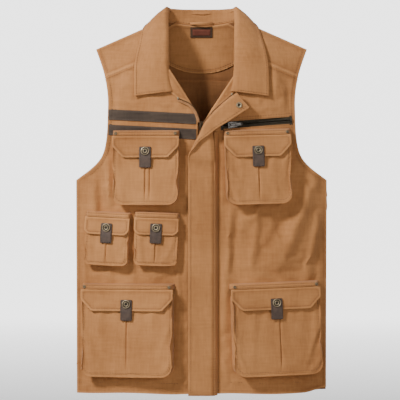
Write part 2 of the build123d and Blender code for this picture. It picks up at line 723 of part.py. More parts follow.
# ---- storm flap ---------------------------------------------------------------------------------
def storm_parts():
    """Storm flap with its sewn edge, its turned-out top and its snaps."""
    top = below(TURNED_DROP)
    sewn_top = below(V_DROP + 12)
    plate_y = -(CHEST_DEPTH + FABRIC + STORM_LIFT)
    width = STORM_SEWN - SEAM_GAP - STORM_LEFT
    middle_x = (STORM_SEWN - SEAM_GAP + STORM_LEFT) / 2
    flap = Pos(middle_x, plate_y - FLAP_THICK / 2, (top + STORM_BOTTOM) / 2) * Box(
        width, FLAP_THICK, top - STORM_BOTTOM
    )
    seam_x = STORM_SEWN + STORM_SEAM_WIDTH / 2
    seam_deep = STORM_LIFT + FLAP_THICK
    seam = Pos(seam_x, plate_y - FLAP_THICK + seam_deep, sewn_top / 2) * Box(
        STORM_SEAM_WIDTH, 2 * seam_deep, sewn_top
    )
    seam = seam - core(-1, FABRIC)
    turned_y = -(CHEST_DEPTH + FABRIC + TURNED_LIFT)
    shape = [
        (STORM_LEFT, top + 1), (-27, below(264)), (-12, below(232)), (6, below(194)), (40, below(162)),
        (76, below(134)), (97, below(164)), (62, below(186)), (28, below(206)), (0, below(228)),
    ]
    corner = make_face(Polyline(*shape, close=True))
    turned_top = Pos(0, turned_y, 0) * extrude(Plane.XZ * corner, amount=FABRIC)
    out = Plane(origin=(0, -(CHEST_DEPTH + FABRIC), 0), x_dir=(1, 0, 0), z_dir=(0, -1, 0))
    studs, sockets = [], []
    z = SNAP_FIRST
    while z < top:
        place = out * Pos(SNAP_LINE, z, 0)
        studs.append(place * snap_stud(STORM_LIFT))
        ring = Pos(0, 0, STORM_LIFT - 1.6) * extrude(Circle(STUD_FOOT) - Circle(SNAP_BORE), amount=1.6)
        sockets.append(place * ring)
        z += SNAP_STEP
    bare = Pos(74, turned_y - FABRIC, below(159)) * Rot(90, 0, 0) * extrude(
        Circle(SNAP_SOCKET) - Circle(SNAP_BORE), amount=SNAP_CAP_THICK
    )
    pivot = Vector(STORM_SEWN, plate_y - FLAP_THICK, top / 2)
    return flap, seam, turned_top, studs, sockets, bare, pivot


# ---- webbing ------------------------------------------------------------------------------------
def webbing(top_drop):
    """One band of webbing across the right chest, sloping down to the centre front."""
    end, start = -(FRONT_EDGE + 2), -(HALF_WIDTH - ARMHOLE_IN - 0.5)
    high = below(top_drop)
    low_end = high + WEBBING_SLOPE * (end - start)
    box = polygon((start, high - WEBBING), (end, low_end - WEBBING), (end, low_end), (start, high))
    return layer(-1, FABRIC, FABRIC + WEBBING_THICK, box & front_outline(-1))


# ---- assembly -----------------------------------------------------------------------------------
def save(name, shapes):
    """Write one node, moved so that the origin is the hanging point."""
    group = shapes if isinstance(shapes, list) else [shapes]
    move = Location(loop_place() * -1)
    solids = []
    for shape in group:
        for solid in shape.solids():
            solids.append(solid.moved(move))
    whole = solids[0] if len(solids) == 1 else Compound(children=solids)
    export_step(whole, f"parts/{name}.step")


def build():
    os.makedirs("parts", exist_ok=True)
    pieces = panels()
    pieces.update(armhole_facings())
    pieces["hem_facing"] = hem_facing()
    pieces["neck_facing"] = neck_facing()
    pieces["collar_stand"] = collar_stand()
    pieces["collar_fall"] = collar_fall()
    pieces["neck_label"] = neck_label()
    pieces["hanger_loop"] = hanger_loop()
    pieces["webbing_upper"] = webbing(WEBBING_DROP)
    pieces["webbing_lower"] = webbing(WEBBING_DROP + WEBBING + WEBBING_GAP)
    pieces["front_facings"] = lapels()

    tapes, rails, stops = front_zip()
    pieces["front_zip_tapes"] = tapes
    pieces["front_zip_teeth"] = rails
    pieces["front_zip_stops"] = stops
    slider, pull, pivot = slider_parts()
    at_slider = front_zip_plane() * Pos(0, below(V_DROP), 0)
    pieces["front_zip_slider"] = at_slider * slider
    pieces["front_zip_pull"] = at_slider * pull

    frame, length = chest_zip_plane()
    tapes, rails = chain(length, CHEST_ZIP_HALF)
    slot = frame * Pos(0, length / 2, 0) * Box(2 * CHEST_ZIP_HALF + 0.6, length + 7, 40)
    pieces["left_front"] = pieces["left_front"] - slot
    pieces["chest_zip_tapes"] = [frame * tape for tape in tapes]
    pieces["chest_zip_teeth"] = [frame * rail for rail in rails]
    ends = []
    for y in (-1.5, length + 1.5):
        ends.append(frame * Pos(0, y, 0) * Box(6, 2.6, TOOTH_THICK))
    pieces["chest_zip_stops"] = ends
    at_slider = frame * Pos(0, CHEST_SLIDER_IN, 0) * Rot(0, 0, 180)
    pieces["chest_zip_slider"] = at_slider * slider
    pieces["chest_zip_pull"] = at_slider * pull
    pouch = polygon(
        (CHEST_ZIP_IN, below(CHEST_BAG_DROP)), (CHEST_ZIP_IN + CHEST_ZIP_LENGTH, below(CHEST_BAG_DROP)),
        (CHEST_ZIP_IN + CHEST_ZIP_LENGTH, below(176)), (CHEST_ZIP_IN, below(180)),
    )
    pieces["chest_zip_bag"] = layer(
        -1, -CHEST_BAG_BEHIND - CHEST_BAG_DEPTH, -CHEST_BAG_BEHIND, pouch
    )

    body_core = core(-1, FABRIC)
    headings, studs, rivets = [], [], []
    for pocket in pocket_list():
        under = []
        if pocket.name == "right_chest":
            under = [pieces["webbing_upper"], pieces["webbing_lower"]]
        parts, heading, stud, pins = pocket_parts(pocket, body_core, under)
        for kind, solid in parts.items():
            pieces[f"{pocket.name}_{kind}"] = solid
        headings.append(heading)
        studs.append(stud)
        rivets.extend(pins)
    pieces["flap_headings"] = headings
    pieces["pocket_studs"] = studs
    pieces["flap_rivets"] = rivets

    flap, seam, turned_top, studs, sockets, bare, pivot = storm_parts()
    pieces["storm_flap"] = flap
    pieces["storm_flap_seam"] = seam
    pieces["storm_flap_turned_top"] = turned_top
    pieces["storm_flap_fixed_snaps"] = studs + [bare]
    pieces["storm_flap_sockets"] = sockets
    for name, shapes in pieces.items():
        save(name, shapes)


if __name__ == "__main__":
    build()
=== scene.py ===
"""Fishing vest in tan canvas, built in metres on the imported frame.

Layout sizes are in millimetres: x towards the wearer's left, z up from the hem, lift outward from the
body form. BodyForm turns them into places in the frame.
"""
import sys

import json
import logging
import math
from dataclasses import dataclass, field
from enum import Enum
from typing import Callable, Iterable, Sequence

import bmesh
import bpy
import numpy as np
from mathutils import Matrix, Vector, geometry


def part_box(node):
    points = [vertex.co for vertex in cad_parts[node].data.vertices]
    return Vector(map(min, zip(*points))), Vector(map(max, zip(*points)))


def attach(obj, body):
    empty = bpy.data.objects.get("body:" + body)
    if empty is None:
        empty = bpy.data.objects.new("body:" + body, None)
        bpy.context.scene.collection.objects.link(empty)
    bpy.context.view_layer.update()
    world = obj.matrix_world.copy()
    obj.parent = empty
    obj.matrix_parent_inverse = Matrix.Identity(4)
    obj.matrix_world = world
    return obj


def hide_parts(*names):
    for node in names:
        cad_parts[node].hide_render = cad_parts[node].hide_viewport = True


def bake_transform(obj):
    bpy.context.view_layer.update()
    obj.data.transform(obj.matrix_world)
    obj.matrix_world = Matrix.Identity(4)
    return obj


MM = 0.001
UP = Vector((0, 0, 1))
AHEAD = Vector((0, -1, 0))
UPRIGHT = Matrix(((1, 0, 0), (0, 0, -1), (0, 1, 0)))
LOG = logging.getLogger("fishing_vest")

Point = tuple[float, float]
Line = list[Point]


class Face(Enum):
    """Which half of the body a piece lies on."""

    FRONT = -1
    BACK = 1


class Hand(Enum):
    """The wearer's side."""

    RIGHT = -1
    LEFT = 1


def smooth(value: float, low: float = 0.0, high: float = 1.0) -> float:
    """Return a smooth step of value from 0 at low to 1 at high."""
    t = min(max((value - low) / (high - low), 0.0), 1.0)
    return t * t * (3 - 2 * t)


# ---------------------------------------------------------------------------------------------------
# flat pattern work
# ---------------------------------------------------------------------------------------------------
def curve_through(points: Sequence[Sequence[float]], steps: int = 8) -> list[tuple[float, ...]]:
    """Return a smooth open curve through points.

    Args:
        points: Points of any one dimension.
        steps: Pieces between two neighbouring points.

    Returns:
        The curve's points, ends included.
    """
    ends = [points[0], *points, points[-1]]
    out = []
    for i in range(1, len(ends) - 2):
        a, b, c, d = (np.array(ends[i + k], float) for k in (-1, 0, 1, 2))
        for k in range(steps):
            t = k / steps
            p = 0.5 * (2 * b + (c - a) * t + (2 * a - 5 * b + 4 * c - d) * t * t + (3 * b - a - 3 * c + d) * t**3)
            out.append(tuple(p))
    out.append(tuple(points[-1]))
    return out


def densify(points: Sequence[Sequence[float]], step: float, closed: bool = False) -> list[tuple[float, ...]]:
    """Return the line with extra points so that no run is longer than step."""
    loop = list(points) + ([points[0]] if closed else [])
    out = []
    for a, b in zip(loop, loop[1:]):
        a, b = np.array(a, float), np.array(b, float)
        count = max(1, math.ceil(np.linalg.norm(b - a) / step))
        out += [tuple(a + (b - a) * k / count) for k in range(count)]
    if not closed:
        out.append(tuple(loop[-1]))
    return out


def beside(points: Line, distance: float) -> Line:
    """Return the line moved sideways, to the left of its direction for a positive distance."""
    out = []
    for i, (x, z) in enumerate(points):
        ax, az = points[max(i - 1, 0)]
        bx, bz = points[min(i + 1, len(points) - 1)]
        size = math.hypot(bx - ax, bz - az) or 1.0
        out.append((x - (bz - az) / size * distance, z + (bx - ax) / size * distance))
    return out


def inside(points: np.ndarray, outline: Line) -> np.ndarray:
    """Return which of the points lie inside a closed outline."""
    x, z = points[:, 0], points[:, 1]
    found = np.zeros(len(points), bool)
    for (x1, z1), (x2, z2) in zip(outline, outline[1:] + outline[:1]):
        if z1 == z2:
            continue
        crosses = (z1 > z) != (z2 > z)
        found ^= crosses & (x < (x2 - x1) * (z - z1) / (z2 - z1) + x1)
    return found


def edge_distance(points: np.ndarray, outline: Line, closed: bool = True) -> np.ndarray:
    """Return each point's distance from an outline."""
    best = np.full(len(points), 1e9)
    pairs = zip(outline, outline[1:] + (outline[:1] if closed else []))
    for a, b in pairs:
        a, b = np.array(a, float), np.array(b, float)
        ab = b - a
        size = float(ab @ ab) or 1.0
        t = np.clip(((points - a) @ ab) / size, 0, 1)
        best = np.minimum(best, np.linalg.norm(points - (a + t[:, None] * ab), axis=1))
    return best


@dataclass
class Pattern:
    """A flat cloth piece: its outline, any slots and how finely it is divided."""

    outline: Line
    spacing: float = 6.0
    slots: list[Line] = field(default_factory=list)
    rings: tuple[float, ...] = (2.5, 5.0, 7.5)
    creases: list[Line] = field(default_factory=list)

    def divided(self) -> tuple[np.ndarray, list[tuple[int, int, int]]]:
        """Return the pattern's points and triangles, counter-clockwise."""
        edge = densify(self.outline, min(self.spacing, 4.5), closed=True)
        loops = [edge] + [densify(slot, min(self.spacing, 4.5), closed=True) for slot in self.slots]
        box = np.array(edge)
        low, high = box.min(0), box.max(0)
        rows = []
        count = int((high[1] - low[1]) / (self.spacing * 0.87)) + 1
        for k in range(count):
            shift = 0.5 * self.spacing * (k % 2)
            xs = np.arange(low[0] + shift, high[0], self.spacing)
            rows.append(np.stack([xs, np.full(len(xs), low[1] + k * self.spacing * 0.87)], 1))
        grid = np.concatenate(rows)
        clear = max(self.rings, default=0.0) + 0.6 * self.spacing
        keep = inside(grid, edge) & (edge_distance(grid, edge) > clear)
        for slot in loops[1:]:
            keep &= ~inside(grid, slot) & (edge_distance(grid, slot) > 0.5 * self.spacing)
        for crease in self.creases:
            keep &= edge_distance(grid, crease, closed=False) > 0.45 * self.spacing
        free = [tuple(p) for p in grid[keep]]
        for crease in self.creases:
            line = np.array(densify(crease, 3.5))
            free += [tuple(p) for p in line[inside(line, edge) & (edge_distance(line, edge) > clear * 0.5)]]
        area = sum(a[0] * b[1] - b[0] * a[1] for a, b in zip(edge, edge[1:] + edge[:1]))
        for depth in self.rings:
            ring = np.array(beside(edge + edge[:2], math.copysign(depth, area))[1:-1])
            good = inside(ring, edge) & (edge_distance(ring, edge) > depth * 0.93)
            free += [tuple(p) for p in ring[good]]
        points, bounds = [], []
        for loop in loops:
            start = len(points)
            points += loop
            bounds += [(start + i, start + (i + 1) % len(loop)) for i in range(len(loop))]
        points += free
        result = geometry.delaunay_2d_cdt([Vector(p) for p in points], bounds, [], 0, 1e-4)
        flat = np.array([tuple(v) for v in result[0]])
        tris = []
        for face in result[2]:
            a, b, c = (flat[i] for i in face[:3])
            turn = (b[0] - a[0]) * (c[1] - a[1]) - (b[1] - a[1]) * (c[0] - a[0])
            tris.append(tuple(face[:3]) if turn > 0 else (face[0], face[2], face[1]))
        centres = np.array([flat[list(t)].mean(0) for t in tris])
        good = inside(centres, edge)
        for slot in loops[1:]:
            good &= ~inside(centres, slot)
        return flat, [t for t, ok in zip(tris, good) if ok]

    def area(self) -> float:
        """Return the flat area in square metres."""
        edge = self.outline
        twice = sum(a[0] * b[1] - b[0] * a[1] for a, b in zip(edge, edge[1:] + edge[:1]))
        return abs(twice) / 2 * MM * MM


# ---------------------------------------------------------------------------------------------------
# meshes
# ---------------------------------------------------------------------------------------------------
def mesh_object(name: str, points: Sequence[Vector], faces: Iterable[Sequence[int]],
                edges: Iterable[Sequence[int]] = ()) -> bpy.types.Object:
    """Return a new object with a mesh of its own, linked to the scene."""
    mesh = bpy.data.meshes.new(name)
    mesh.from_pydata([tuple(p) for p in points], [tuple(e) for e in edges], [tuple(f) for f in faces])
    mesh.update()
    thing = bpy.data.objects.new(name, mesh)
    bpy.context.scene.collection.objects.link(thing)
    return thing


def grid_object(name: str, rows: Sequence[Sequence[Vector]], closed: bool = False) -> bpy.types.Object:
    """Return a sheet through rows of points.

    Args:
        name: The new object's name.
        rows: Rows of equal length.
        closed: Whether the rows' ends join.

    Returns:
        The object, one layer thick.
    """
    width = len(rows[0])
    points = [p for row in rows for p in row]
    faces = []
    for i in range(len(rows) - 1):
        for j in range(width if closed else width - 1):
            k = (j + 1) % width
            faces.append((i * width + j, i * width + k, (i + 1) * width + k, (i + 1) * width + j))
    return mesh_object(name, points, faces)


def apply_modifiers(thing: bpy.types.Object) -> None:
    """Turn an object's modifiers into plain mesh."""
    graph = bpy.context.evaluated_depsgraph_get()
    graph.update()
    mesh = bpy.data.meshes.new_from_object(thing.evaluated_get(graph))
    old = thing.data
    thing.modifiers.clear()
    thing.data = mesh
    mesh.name = thing.name
    bpy.data.meshes.remove(old)


def thicken(thing: bpy.types.Object, thick: float, rounded: bool = True, outward: bool = False,
            painted_shade_inside: bool = False) -> None:
    """Give a sheet its thickness, inward from its outer face, and soften its edges.

    Args:
        thing: A sheet one layer thick.
        thick: Thickness in millimetres.
        rounded: Whether the cut edges are rounded.
        outward: Whether the sheet grows along its normals instead.
        painted_shade_inside: Whether the inner side takes a second material, the darker canvas that paints the shade
            inside the back.
    """
    wall = thing.modifiers.new("wall", "SOLIDIFY")
    wall.thickness = thick * MM
    wall.offset = 1.0 if outward else -1.0
    wall.use_even_offset = False
    wall.use_rim = True
    wall.material_offset = 1 if painted_shade_inside else 0
    if painted_shade_inside:
        thing.data.materials.append(None)
        thing.data.materials.append(None)
    if rounded:
        soft = thing.modifiers.new("edge", "BEVEL")
        soft.width = min(0.3 * thick, 0.6) * MM
        soft.segments = 1
        soft.limit_method = "ANGLE"
        soft.angle_limit = math.radians(60)
    apply_modifiers(thing)
    shade(thing)


def shade(thing: bpy.types.Object, angle: float = 50.0) -> None:
    """Shade an object smooth, keeping edges sharper than the angle in degrees."""
    mesh = thing.data
    mesh.shade_smooth()
    mesh.set_sharp_from_angle(angle=math.radians(angle))


def wear(thing: bpy.types.Object, reach: Sequence[float]) -> None:
    """Record where the cloth is paler along its edges, partly real wear and partly painted highlight on the raised
    edge, and darker beside its stitches, which is painted shade in the stitch groove.

    Args:
        thing: A sheet.
        reach: Each vertex's distance from the nearest edge in millimetres.
    """
    layer = thing.data.attributes.new("wear", "FLOAT", "POINT")
    # 1 at the edge fading to 0: paler edge, wear and painted highlight; the dip near 5.6 mm in: painted shade of the
    #                            stitch groove
    values = [1 - 1.0 * smooth(d, 0.5, 3.6) - 0.9 * math.exp(-(((d - 5.6) / 1.9) ** 2)) for d in reach]
    layer.data.foreach_set("value", values)


def cloth_area(thing: bpy.types.Object) -> float:
    """Return a sheet's area in square metres."""
    return sum(face.area for face in thing.data.polygons)


def recalculated(thing: bpy.types.Object, gap: float = 1e-6) -> bpy.types.Object:
    """Merge doubles and turn all faces outward."""
    work = bmesh.new()
    work.from_mesh(thing.data)
    bmesh.ops.remove_doubles(work, verts=work.verts, dist=gap)
    bmesh.ops.recalc_face_normals(work, faces=work.faces)
    work.to_mesh(thing.data)
    work.free()
    return thing


def dress(thing: bpy.types.Object, finish: bpy.types.Material) -> bpy.types.Object:
    """Give an object one material."""
    thing.data.materials.clear()
    thing.data.materials.append(finish)
    return thing


def join(name: str, things: Sequence[bpy.types.Object]) -> bpy.types.Object:
    """Join objects that share a body and a finish into one."""
    work = bmesh.new()
    for thing in things:
        work.from_mesh(thing.data)
    finish = list(things[0].data.materials)
    mesh = bpy.data.meshes.new(name)
    work.to_mesh(mesh)
    work.free()
    for material in finish:
        mesh.materials.append(material)
    for thing in things:
        bpy.data.objects.remove(thing)
    joined = bpy.data.objects.new(name, mesh)
    bpy.context.scene.collection.objects.link(joined)
    return joined


# ---------------------------------------------------------------------------------------------------
# body form
# ---------------------------------------------------------------------------------------------------
@dataclass(frozen=True)
class Fold:
    """A soft ridge or hollow in the cloth along a line, in layout millimetres."""

    x0: float
    z0: float
    x1: float
    z1: float
    width: float
    height: float

    def lift(self, x: float, z: float) -> float:
        """Return how far the fold lifts the cloth at a point."""
        dx, dz = self.x1 - self.x0, self.z1 - self.z0
        size = dx * dx + dz * dz
        t = ((x - self.x0) * dx + (z - self.z0) * dz) / size
        if t <= 0 or t >= 1:
            return 0.0
        off = ((x - self.x0) * dz - (z - self.z0) * dx) / math.sqrt(size) / self.width
        if abs(off) > 3:
            return 0.0
        return self.height * math.exp(-off * off) * math.sin(math.pi * t) ** 0.8


FRONT_FOLDS = (
    Fold(-222, 440, -206, 250, 8, 5.2), Fold(-206, 452, -190, 230, 7, -5.0), Fold(-190, 480, -184, 372, 6, 4.6),
    Fold(-240, 420, -232, 60, 9, 3.0), Fold(-42, 380, -46, 30, 7, 2.5), Fold(-38, 350, -44, 170, 6, -2.0),
    Fold(-140, 380, -138, 226, 5, 2.0), Fold(-196, 262, -180, 222, 8, 2.5), Fold(-100, 262, -90, 222, 8, 2.0),
    Fold(-150, 660, -140, 590, 10, 2.0), Fold(-170, 640, -176, 560, 7, -1.6), Fold(-120, 600, -60, 575, 9, 1.8),
    Fold(236, 450, 150, 238, 12, 5.5), Fold(222, 470, 110, 250, 10, -4.0), Fold(200, 470, 84, 330, 11, 4.0),
    Fold(246, 400, 206, 210, 10, 4.5), Fold(252, 380, 236, 40, 10, 3.0), Fold(60, 384, 44, 120, 8, 3.0),
    Fold(74, 372, 62, 232, 7, -2.5), Fold(120, 384, 96, 232, 9, 3.0), Fold(150, 372, 168, 300, 9, -2.0),
    Fold(150, 660, 150, 590, 9, 2.2), Fold(170, 640, 176, 560, 7, -2.0), Fold(120, 640, 112, 580, 8, 1.8),
    Fold(-60, 30, -220, 24, 9, 1.8), Fold(60, 30, 220, 22, 9, 2.2), Fold(196, 620, 192, 480, 5, 1.5),
    Fold(-196, 620, -192, 480, 5, 1.5), Fold(-80, 372, -60, 250, 8, 1.5),
)
BACK_FOLDS = (
    Fold(-34, 636, -44, 330, 9, -5.0), Fold(-8, 640, 4, 300, 9, 5.0), Fold(22, 640, 28, 320, 8, -4.5),
    Fold(48, 636, 58, 360, 8, 5.0), Fold(-66, 636, -84, 400, 9, 4.5), Fold(-200, 470, -120, 200, 12, 5.0),
    Fold(200, 470, 120, 200, 12, -4.5), Fold(-232, 430, -196, 120, 12, -4.0), Fold(232, 430, 200, 120, 12, 4.5),
    Fold(-150, 600, -110, 330, 12, 4.0), Fold(150, 600, 110, 330, 12, 4.0), Fold(-60, 300, -70, 20, 12, 3.5),
    Fold(70, 300, 60, 20, 12, 3.5), Fold(0, 220, 8, 10, 14, -3.0), Fold(-160, 240, -170, 10, 12, 3.0),
    Fold(160, 240, 176, 10, 12, 3.0), Fold(-110, 700, -90, 640, 9, 2.0), Fold(110, 700, 96, 640, 9, 2.0),
)


@dataclass(frozen=True)
class BodyForm:
    """The stuffed-out shape that the cloth lies on, with its folds."""

    half_width: float
    depth: float
    length: float
    side_y: float
    hem_z: float
    cloth: float = 2.4
    fullness: int = 3
    shoulder_run: float = 200.0
    shoulder_fullness: int = 4
    shoulder_slope: float = 0.441
    shoulder_neck: float = 113.0
    neck_round: float = 15.0
    fold_depth: float = 1.45

    @classmethod
    def from_frame(cls) -> "BodyForm":
        """Read the overall sizes from the frame's back panel and collar stand."""
        low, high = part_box("back_panel")
        stand_rise = 40.0
        depth = (high[1] - low[1]) / MM - 2.4
        length = (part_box("collar_stand")[1][2] - low[2]) / MM - stand_rise
        return cls(high[0] / MM, depth, length, low[1], low[2])

    def shoulder(self, x: float) -> float:
        """Return the height of the shoulder line at x."""
        reach = math.hypot(self.shoulder_neck, self.neck_round) - math.hypot(x, self.neck_round)
        return self.length + self.shoulder_slope * reach

    def stand_off(self, x: float, z: float) -> float:
        """Return the distance of the cloth's inner side from the plane through the side seams."""
        across = 1 - abs(x / self.half_width) ** self.fullness
        fall = min((self.shoulder(x) - z) / self.shoulder_run, 1)
        if fall < 0:
            return self.depth * across * self.shoulder_fullness * fall
        return self.depth * across * (1 - (1 - fall) ** self.shoulder_fullness)

    def folds(self, face: Face, x: float, z: float) -> float:
        """Return how far the folds lift the cloth."""
        table = FRONT_FOLDS if face is Face.FRONT else BACK_FOLDS
        total = self.fold_depth * sum(fold.lift(x, z) for fold in table)
        still = smooth(self.half_width - abs(x), 0, 18) * smooth(self.shoulder(x) - z, 4, 30)
        return total * still

    def spread(self, x: float, z: float) -> float:
        """Return how far apart the two halves stand at the side seams, to round them."""
        side = math.exp(-(((self.half_width - abs(x)) / 7.0) ** 2)) if z < self.length - 300 else 0.0
        return 1.2 * side

    def place(self, face: Face, x: float, z: float, lift: float = 0.0) -> Vector:
        """Return a point on the outer side of the cloth, lifted outward.

        Args:
            face: Front or back.
            x: Layout x in millimetres.
            z: Layout height in millimetres.
            lift: Distance outward in millimetres.

        Returns:
            The place in the frame, in metres.
        """
        out = self.stand_off(x, z) + self.cloth + self.folds(face, x, z) + self.spread(x, z) + lift
        return self.world(x, face.value * out, z)

    def world(self, x: float, y: float, z: float) -> Vector:
        """Return a layout point in the frame, in metres."""
        return Vector((x * MM, y * MM + self.side_y, z * MM + self.hem_z))

    def layout(self, place: Vector) -> tuple[float, float, float]:
        """Return a place in the frame as layout millimetres."""
        return place.x / MM, (place.y - self.side_y) / MM, (place.z - self.hem_z) / MM

    def below(self, drop: float) -> float:
        """Return the height of a point this far below the neck end of the shoulder."""
        return self.length - drop


# ---------------------------------------------------------------------------------------------------
# finishes
# ---------------------------------------------------------------------------------------------------
class Nodes:
    """A small helper that adds and links shader nodes."""

    def __init__(self, tree: bpy.types.NodeTree) -> None:
        """Keep the tree that nodes are added to."""
        self.tree = tree

    def add(self, kind: str, inputs: dict | None = None, **settings: object) -> bpy.types.Node:
        """Add a node, set its properties and feed its inputs.

        Args:
            kind: The node's type name.
            inputs: Input name or number to a value or an output socket.
            settings: Properties of the node.

        Returns:
            The node.
        """
        node = self.tree.nodes.new(kind)
        for key, value in settings.items():
            setattr(node, key, value)
        for key, value in (inputs or {}).items():
            socket = node.inputs[key]
            if isinstance(value, bpy.types.NodeSocket):
                self.tree.links.new(value, socket)
            else:
                socket.default_value = value
        return node

    def math(self, operation: str, *values: object) -> bpy.types.NodeSocket:
        """Add a Math node and return its output."""
        return self.add("ShaderNodeMath", dict(enumerate(values)), operation=operation).outputs[0]

    def mix(self, factor: object, a: object, b: object, blend: str = "MIX") -> bpy.types.NodeSocket:
        """Add a colour Mix node and return its colour."""
        node = self.add("ShaderNodeMix", {0: factor, 6: a, 7: b}, data_type="RGBA", blend_type=blend,
                        clamp_factor=False)
        return node.outputs[2]

    def noise(self, vector: object, scale: float, detail: float = 3.0, rough: float = 0.5) -> bpy.types.NodeSocket:
        """Add a noise texture and return its value."""
        inputs = {"Vector": vector, "Scale": scale, "Detail": detail, "Roughness": rough}
        return self.add("ShaderNodeTexNoise", inputs).outputs["Fac"]


def new_group(name: str, inputs: dict[str, str], outputs: dict[str, str]) -> tuple[bpy.types.NodeTree, Nodes]:
    """Start a shader node group.

    Args:
        name: The group's name.
        inputs: Input names to socket types.
        outputs: Output names to socket types.

    Returns:
        The group and a helper on it.
    """
    group = bpy.data.node_groups.new(name, "ShaderNodeTree")
    for key, kind in inputs.items():
        group.interface.new_socket(key, in_out="INPUT", socket_type=kind)
    for key, kind in outputs.items():
        group.interface.new_socket(key, in_out="OUTPUT", socket_type=kind)
    return group, Nodes(group)


def weave_group() -> bpy.types.NodeTree:
    """Return the shared weave: crossing threads with slubs, as a height and a tone."""
    group, make = new_group(
        "thread_weave",
        {"Vector": "NodeSocketVector", "Thread": "NodeSocketFloat", "Slant": "NodeSocketFloat"},
        {"Height": "NodeSocketFloat", "Tone": "NodeSocketFloat"},
    )
    source = make.add("NodeGroupInput").outputs
    split = make.add("ShaderNodeSeparateXYZ", {0: source["Vector"]}).outputs
    turns = make.math("DIVIDE", 2 * math.pi, source["Thread"])
    across = make.math("MULTIPLY", make.math("ADD", split["X"], split["Y"]), turns)
    along = make.math("MULTIPLY", split["Z"], turns)
    slant = make.math("MULTIPLY", across, source["Slant"])
    warp = make.math("SINE", make.math("ADD", along, slant))
    weft = make.math("SINE", make.math("SUBTRACT", across, make.math("MULTIPLY", along, 0.5)))
    both = make.math("ADD", make.math("MULTIPLY", warp, 0.6), make.math("MULTIPLY", weft, 0.4))
    height = make.math("MULTIPLY_ADD", both, 0.5, 0.5)
    stretched = make.add("ShaderNodeMapping", {"Vector": source["Vector"], "Scale": (30, 30, 260)}).outputs[0]
    other = make.add("ShaderNodeMapping", {"Vector": source["Vector"], "Scale": (260, 260, 30)}).outputs[0]
    slub = make.math("ADD", make.noise(stretched, 1.0, 2.0), make.noise(other, 1.0, 2.0))
    tone = make.math("ADD", make.math("MULTIPLY", slub, 0.65), make.math("MULTIPLY", height, 0.3))
    make.add("NodeGroupOutput", {"Height": height, "Tone": tone})
    return group


def fade_group() -> bpy.types.NodeTree:
    """Return the shared washed look: broad soft patches and fine crumple."""
    group, make = new_group(
        "washed_cloth",
        {"Vector": "NodeSocketVector", "Patch": "NodeSocketFloat", "Crumple": "NodeSocketFloat"},
        {"Patches": "NodeSocketFloat", "Crease": "NodeSocketFloat"},
    )
    source = make.add("NodeGroupInput").outputs
    patches = make.add(
        "ShaderNodeTexNoise", {"Vector": source["Vector"], "Scale": source["Patch"], "Detail": 4.0, "Roughness": 0.6}
    ).outputs["Fac"]
    bent = make.add("ShaderNodeTexNoise", {"Vector": source["Vector"], "Scale": 14.0, "Detail": 1.0}).outputs["Color"]
    moved = make.add("ShaderNodeVectorMath", {0: bent, 3: 0.02}, operation="SCALE").outputs[0]
    where = make.add("ShaderNodeVectorMath", {0: source["Vector"], 1: moved}, operation="ADD").outputs[0]
    flat = make.add("ShaderNodeMapping", {"Vector": where, "Scale": (1.0, 1.0, 0.45)}).outputs[0]
    crease = make.add(
        "ShaderNodeTexNoise", {"Vector": flat, "Scale": source["Crumple"], "Detail": 3.0, "Roughness": 0.45}
    ).outputs["Fac"]
    make.add("NodeGroupOutput", {"Patches": patches, "Crease": crease})
    return group


@dataclass(frozen=True)
class ClothFinish:
    """A woven cloth: its colours, thread size and how washed it is."""

    name: str
    light: tuple[float, float, float]
    dark: tuple[float, float, float]
    thread: float = 0.0011
    slant: float = 1.0
    crumple: float = 46.0
    crumple_depth: float = 0.0019
    weave_depth: float = 0.00016
    roughness: float = 0.88
    sheen: float = 0.08
    # strength of the edge attribute: paler edges (wear and painted highlight) and painted shade beside the stitches
    rub: float = 0.45

    def material(self) -> bpy.types.Material:
        """Return the finish as a material."""
        material = bpy.data.materials.new(self.name)
        material.use_nodes = True
        tree = material.node_tree
        tree.nodes.clear()
        make = Nodes(tree)
        where = make.add("ShaderNodeTexCoord").outputs["Object"]
        weave = make.add("ShaderNodeGroup", node_tree=bpy.data.node_groups["thread_weave"])
        tree.links.new(where, weave.inputs["Vector"])
        weave.inputs["Thread"].default_value = self.thread
        weave.inputs["Slant"].default_value = self.slant
        wash = make.add("ShaderNodeGroup", node_tree=bpy.data.node_groups["washed_cloth"])
        tree.links.new(where, wash.inputs["Vector"])
        wash.inputs["Patch"].default_value = 9.0
        wash.inputs["Crumple"].default_value = self.crumple
        thread_tone = make.math("MULTIPLY", weave.outputs["Tone"], 0.75)
        tone = make.math("MULTIPLY_ADD", wash.outputs["Patches"], 1.5, thread_tone)
        # edge attribute: paler edges are wear and painted highlight, the dark line beside the stitches is painted
        # shade
        wear_and_painted_light_mask = make.add("ShaderNodeAttribute", attribute_name="wear").outputs["Fac"]
        factor = make.math("MULTIPLY_ADD", wear_and_painted_light_mask, self.rub, make.math("SUBTRACT", tone, 0.93))
        factor = make.add("ShaderNodeClamp", {0: factor, 1: -0.6, 2: 1.6}).outputs[0]
        colour = make.mix(factor, (*self.dark, 1), (*self.light, 1))
        rough = make.math("MULTIPLY_ADD", weave.outputs["Height"], -0.08, self.roughness + 0.04)
        broad = make.add(
            "ShaderNodeBump", {"Height": wash.outputs["Crease"], "Strength": 1.0, "Distance": self.crumple_depth}
        ).outputs[0]
        fine = make.add(
            "ShaderNodeBump",
            {"Height": weave.outputs["Height"], "Normal": broad, "Strength": 0.8, "Distance": self.weave_depth},
        ).outputs[0]
        shader = make.add("ShaderNodeBsdfPrincipled", {"Base Color": colour, "Roughness": rough, "Normal": fine})
        shader.inputs["Sheen Weight"].default_value = self.sheen
        shader.inputs["Sheen Roughness"].default_value = 0.5
        shader.inputs["Specular IOR Level"].default_value = 0.25
        make.add("ShaderNodeOutputMaterial", {"Surface": shader.outputs[0]})
        return material


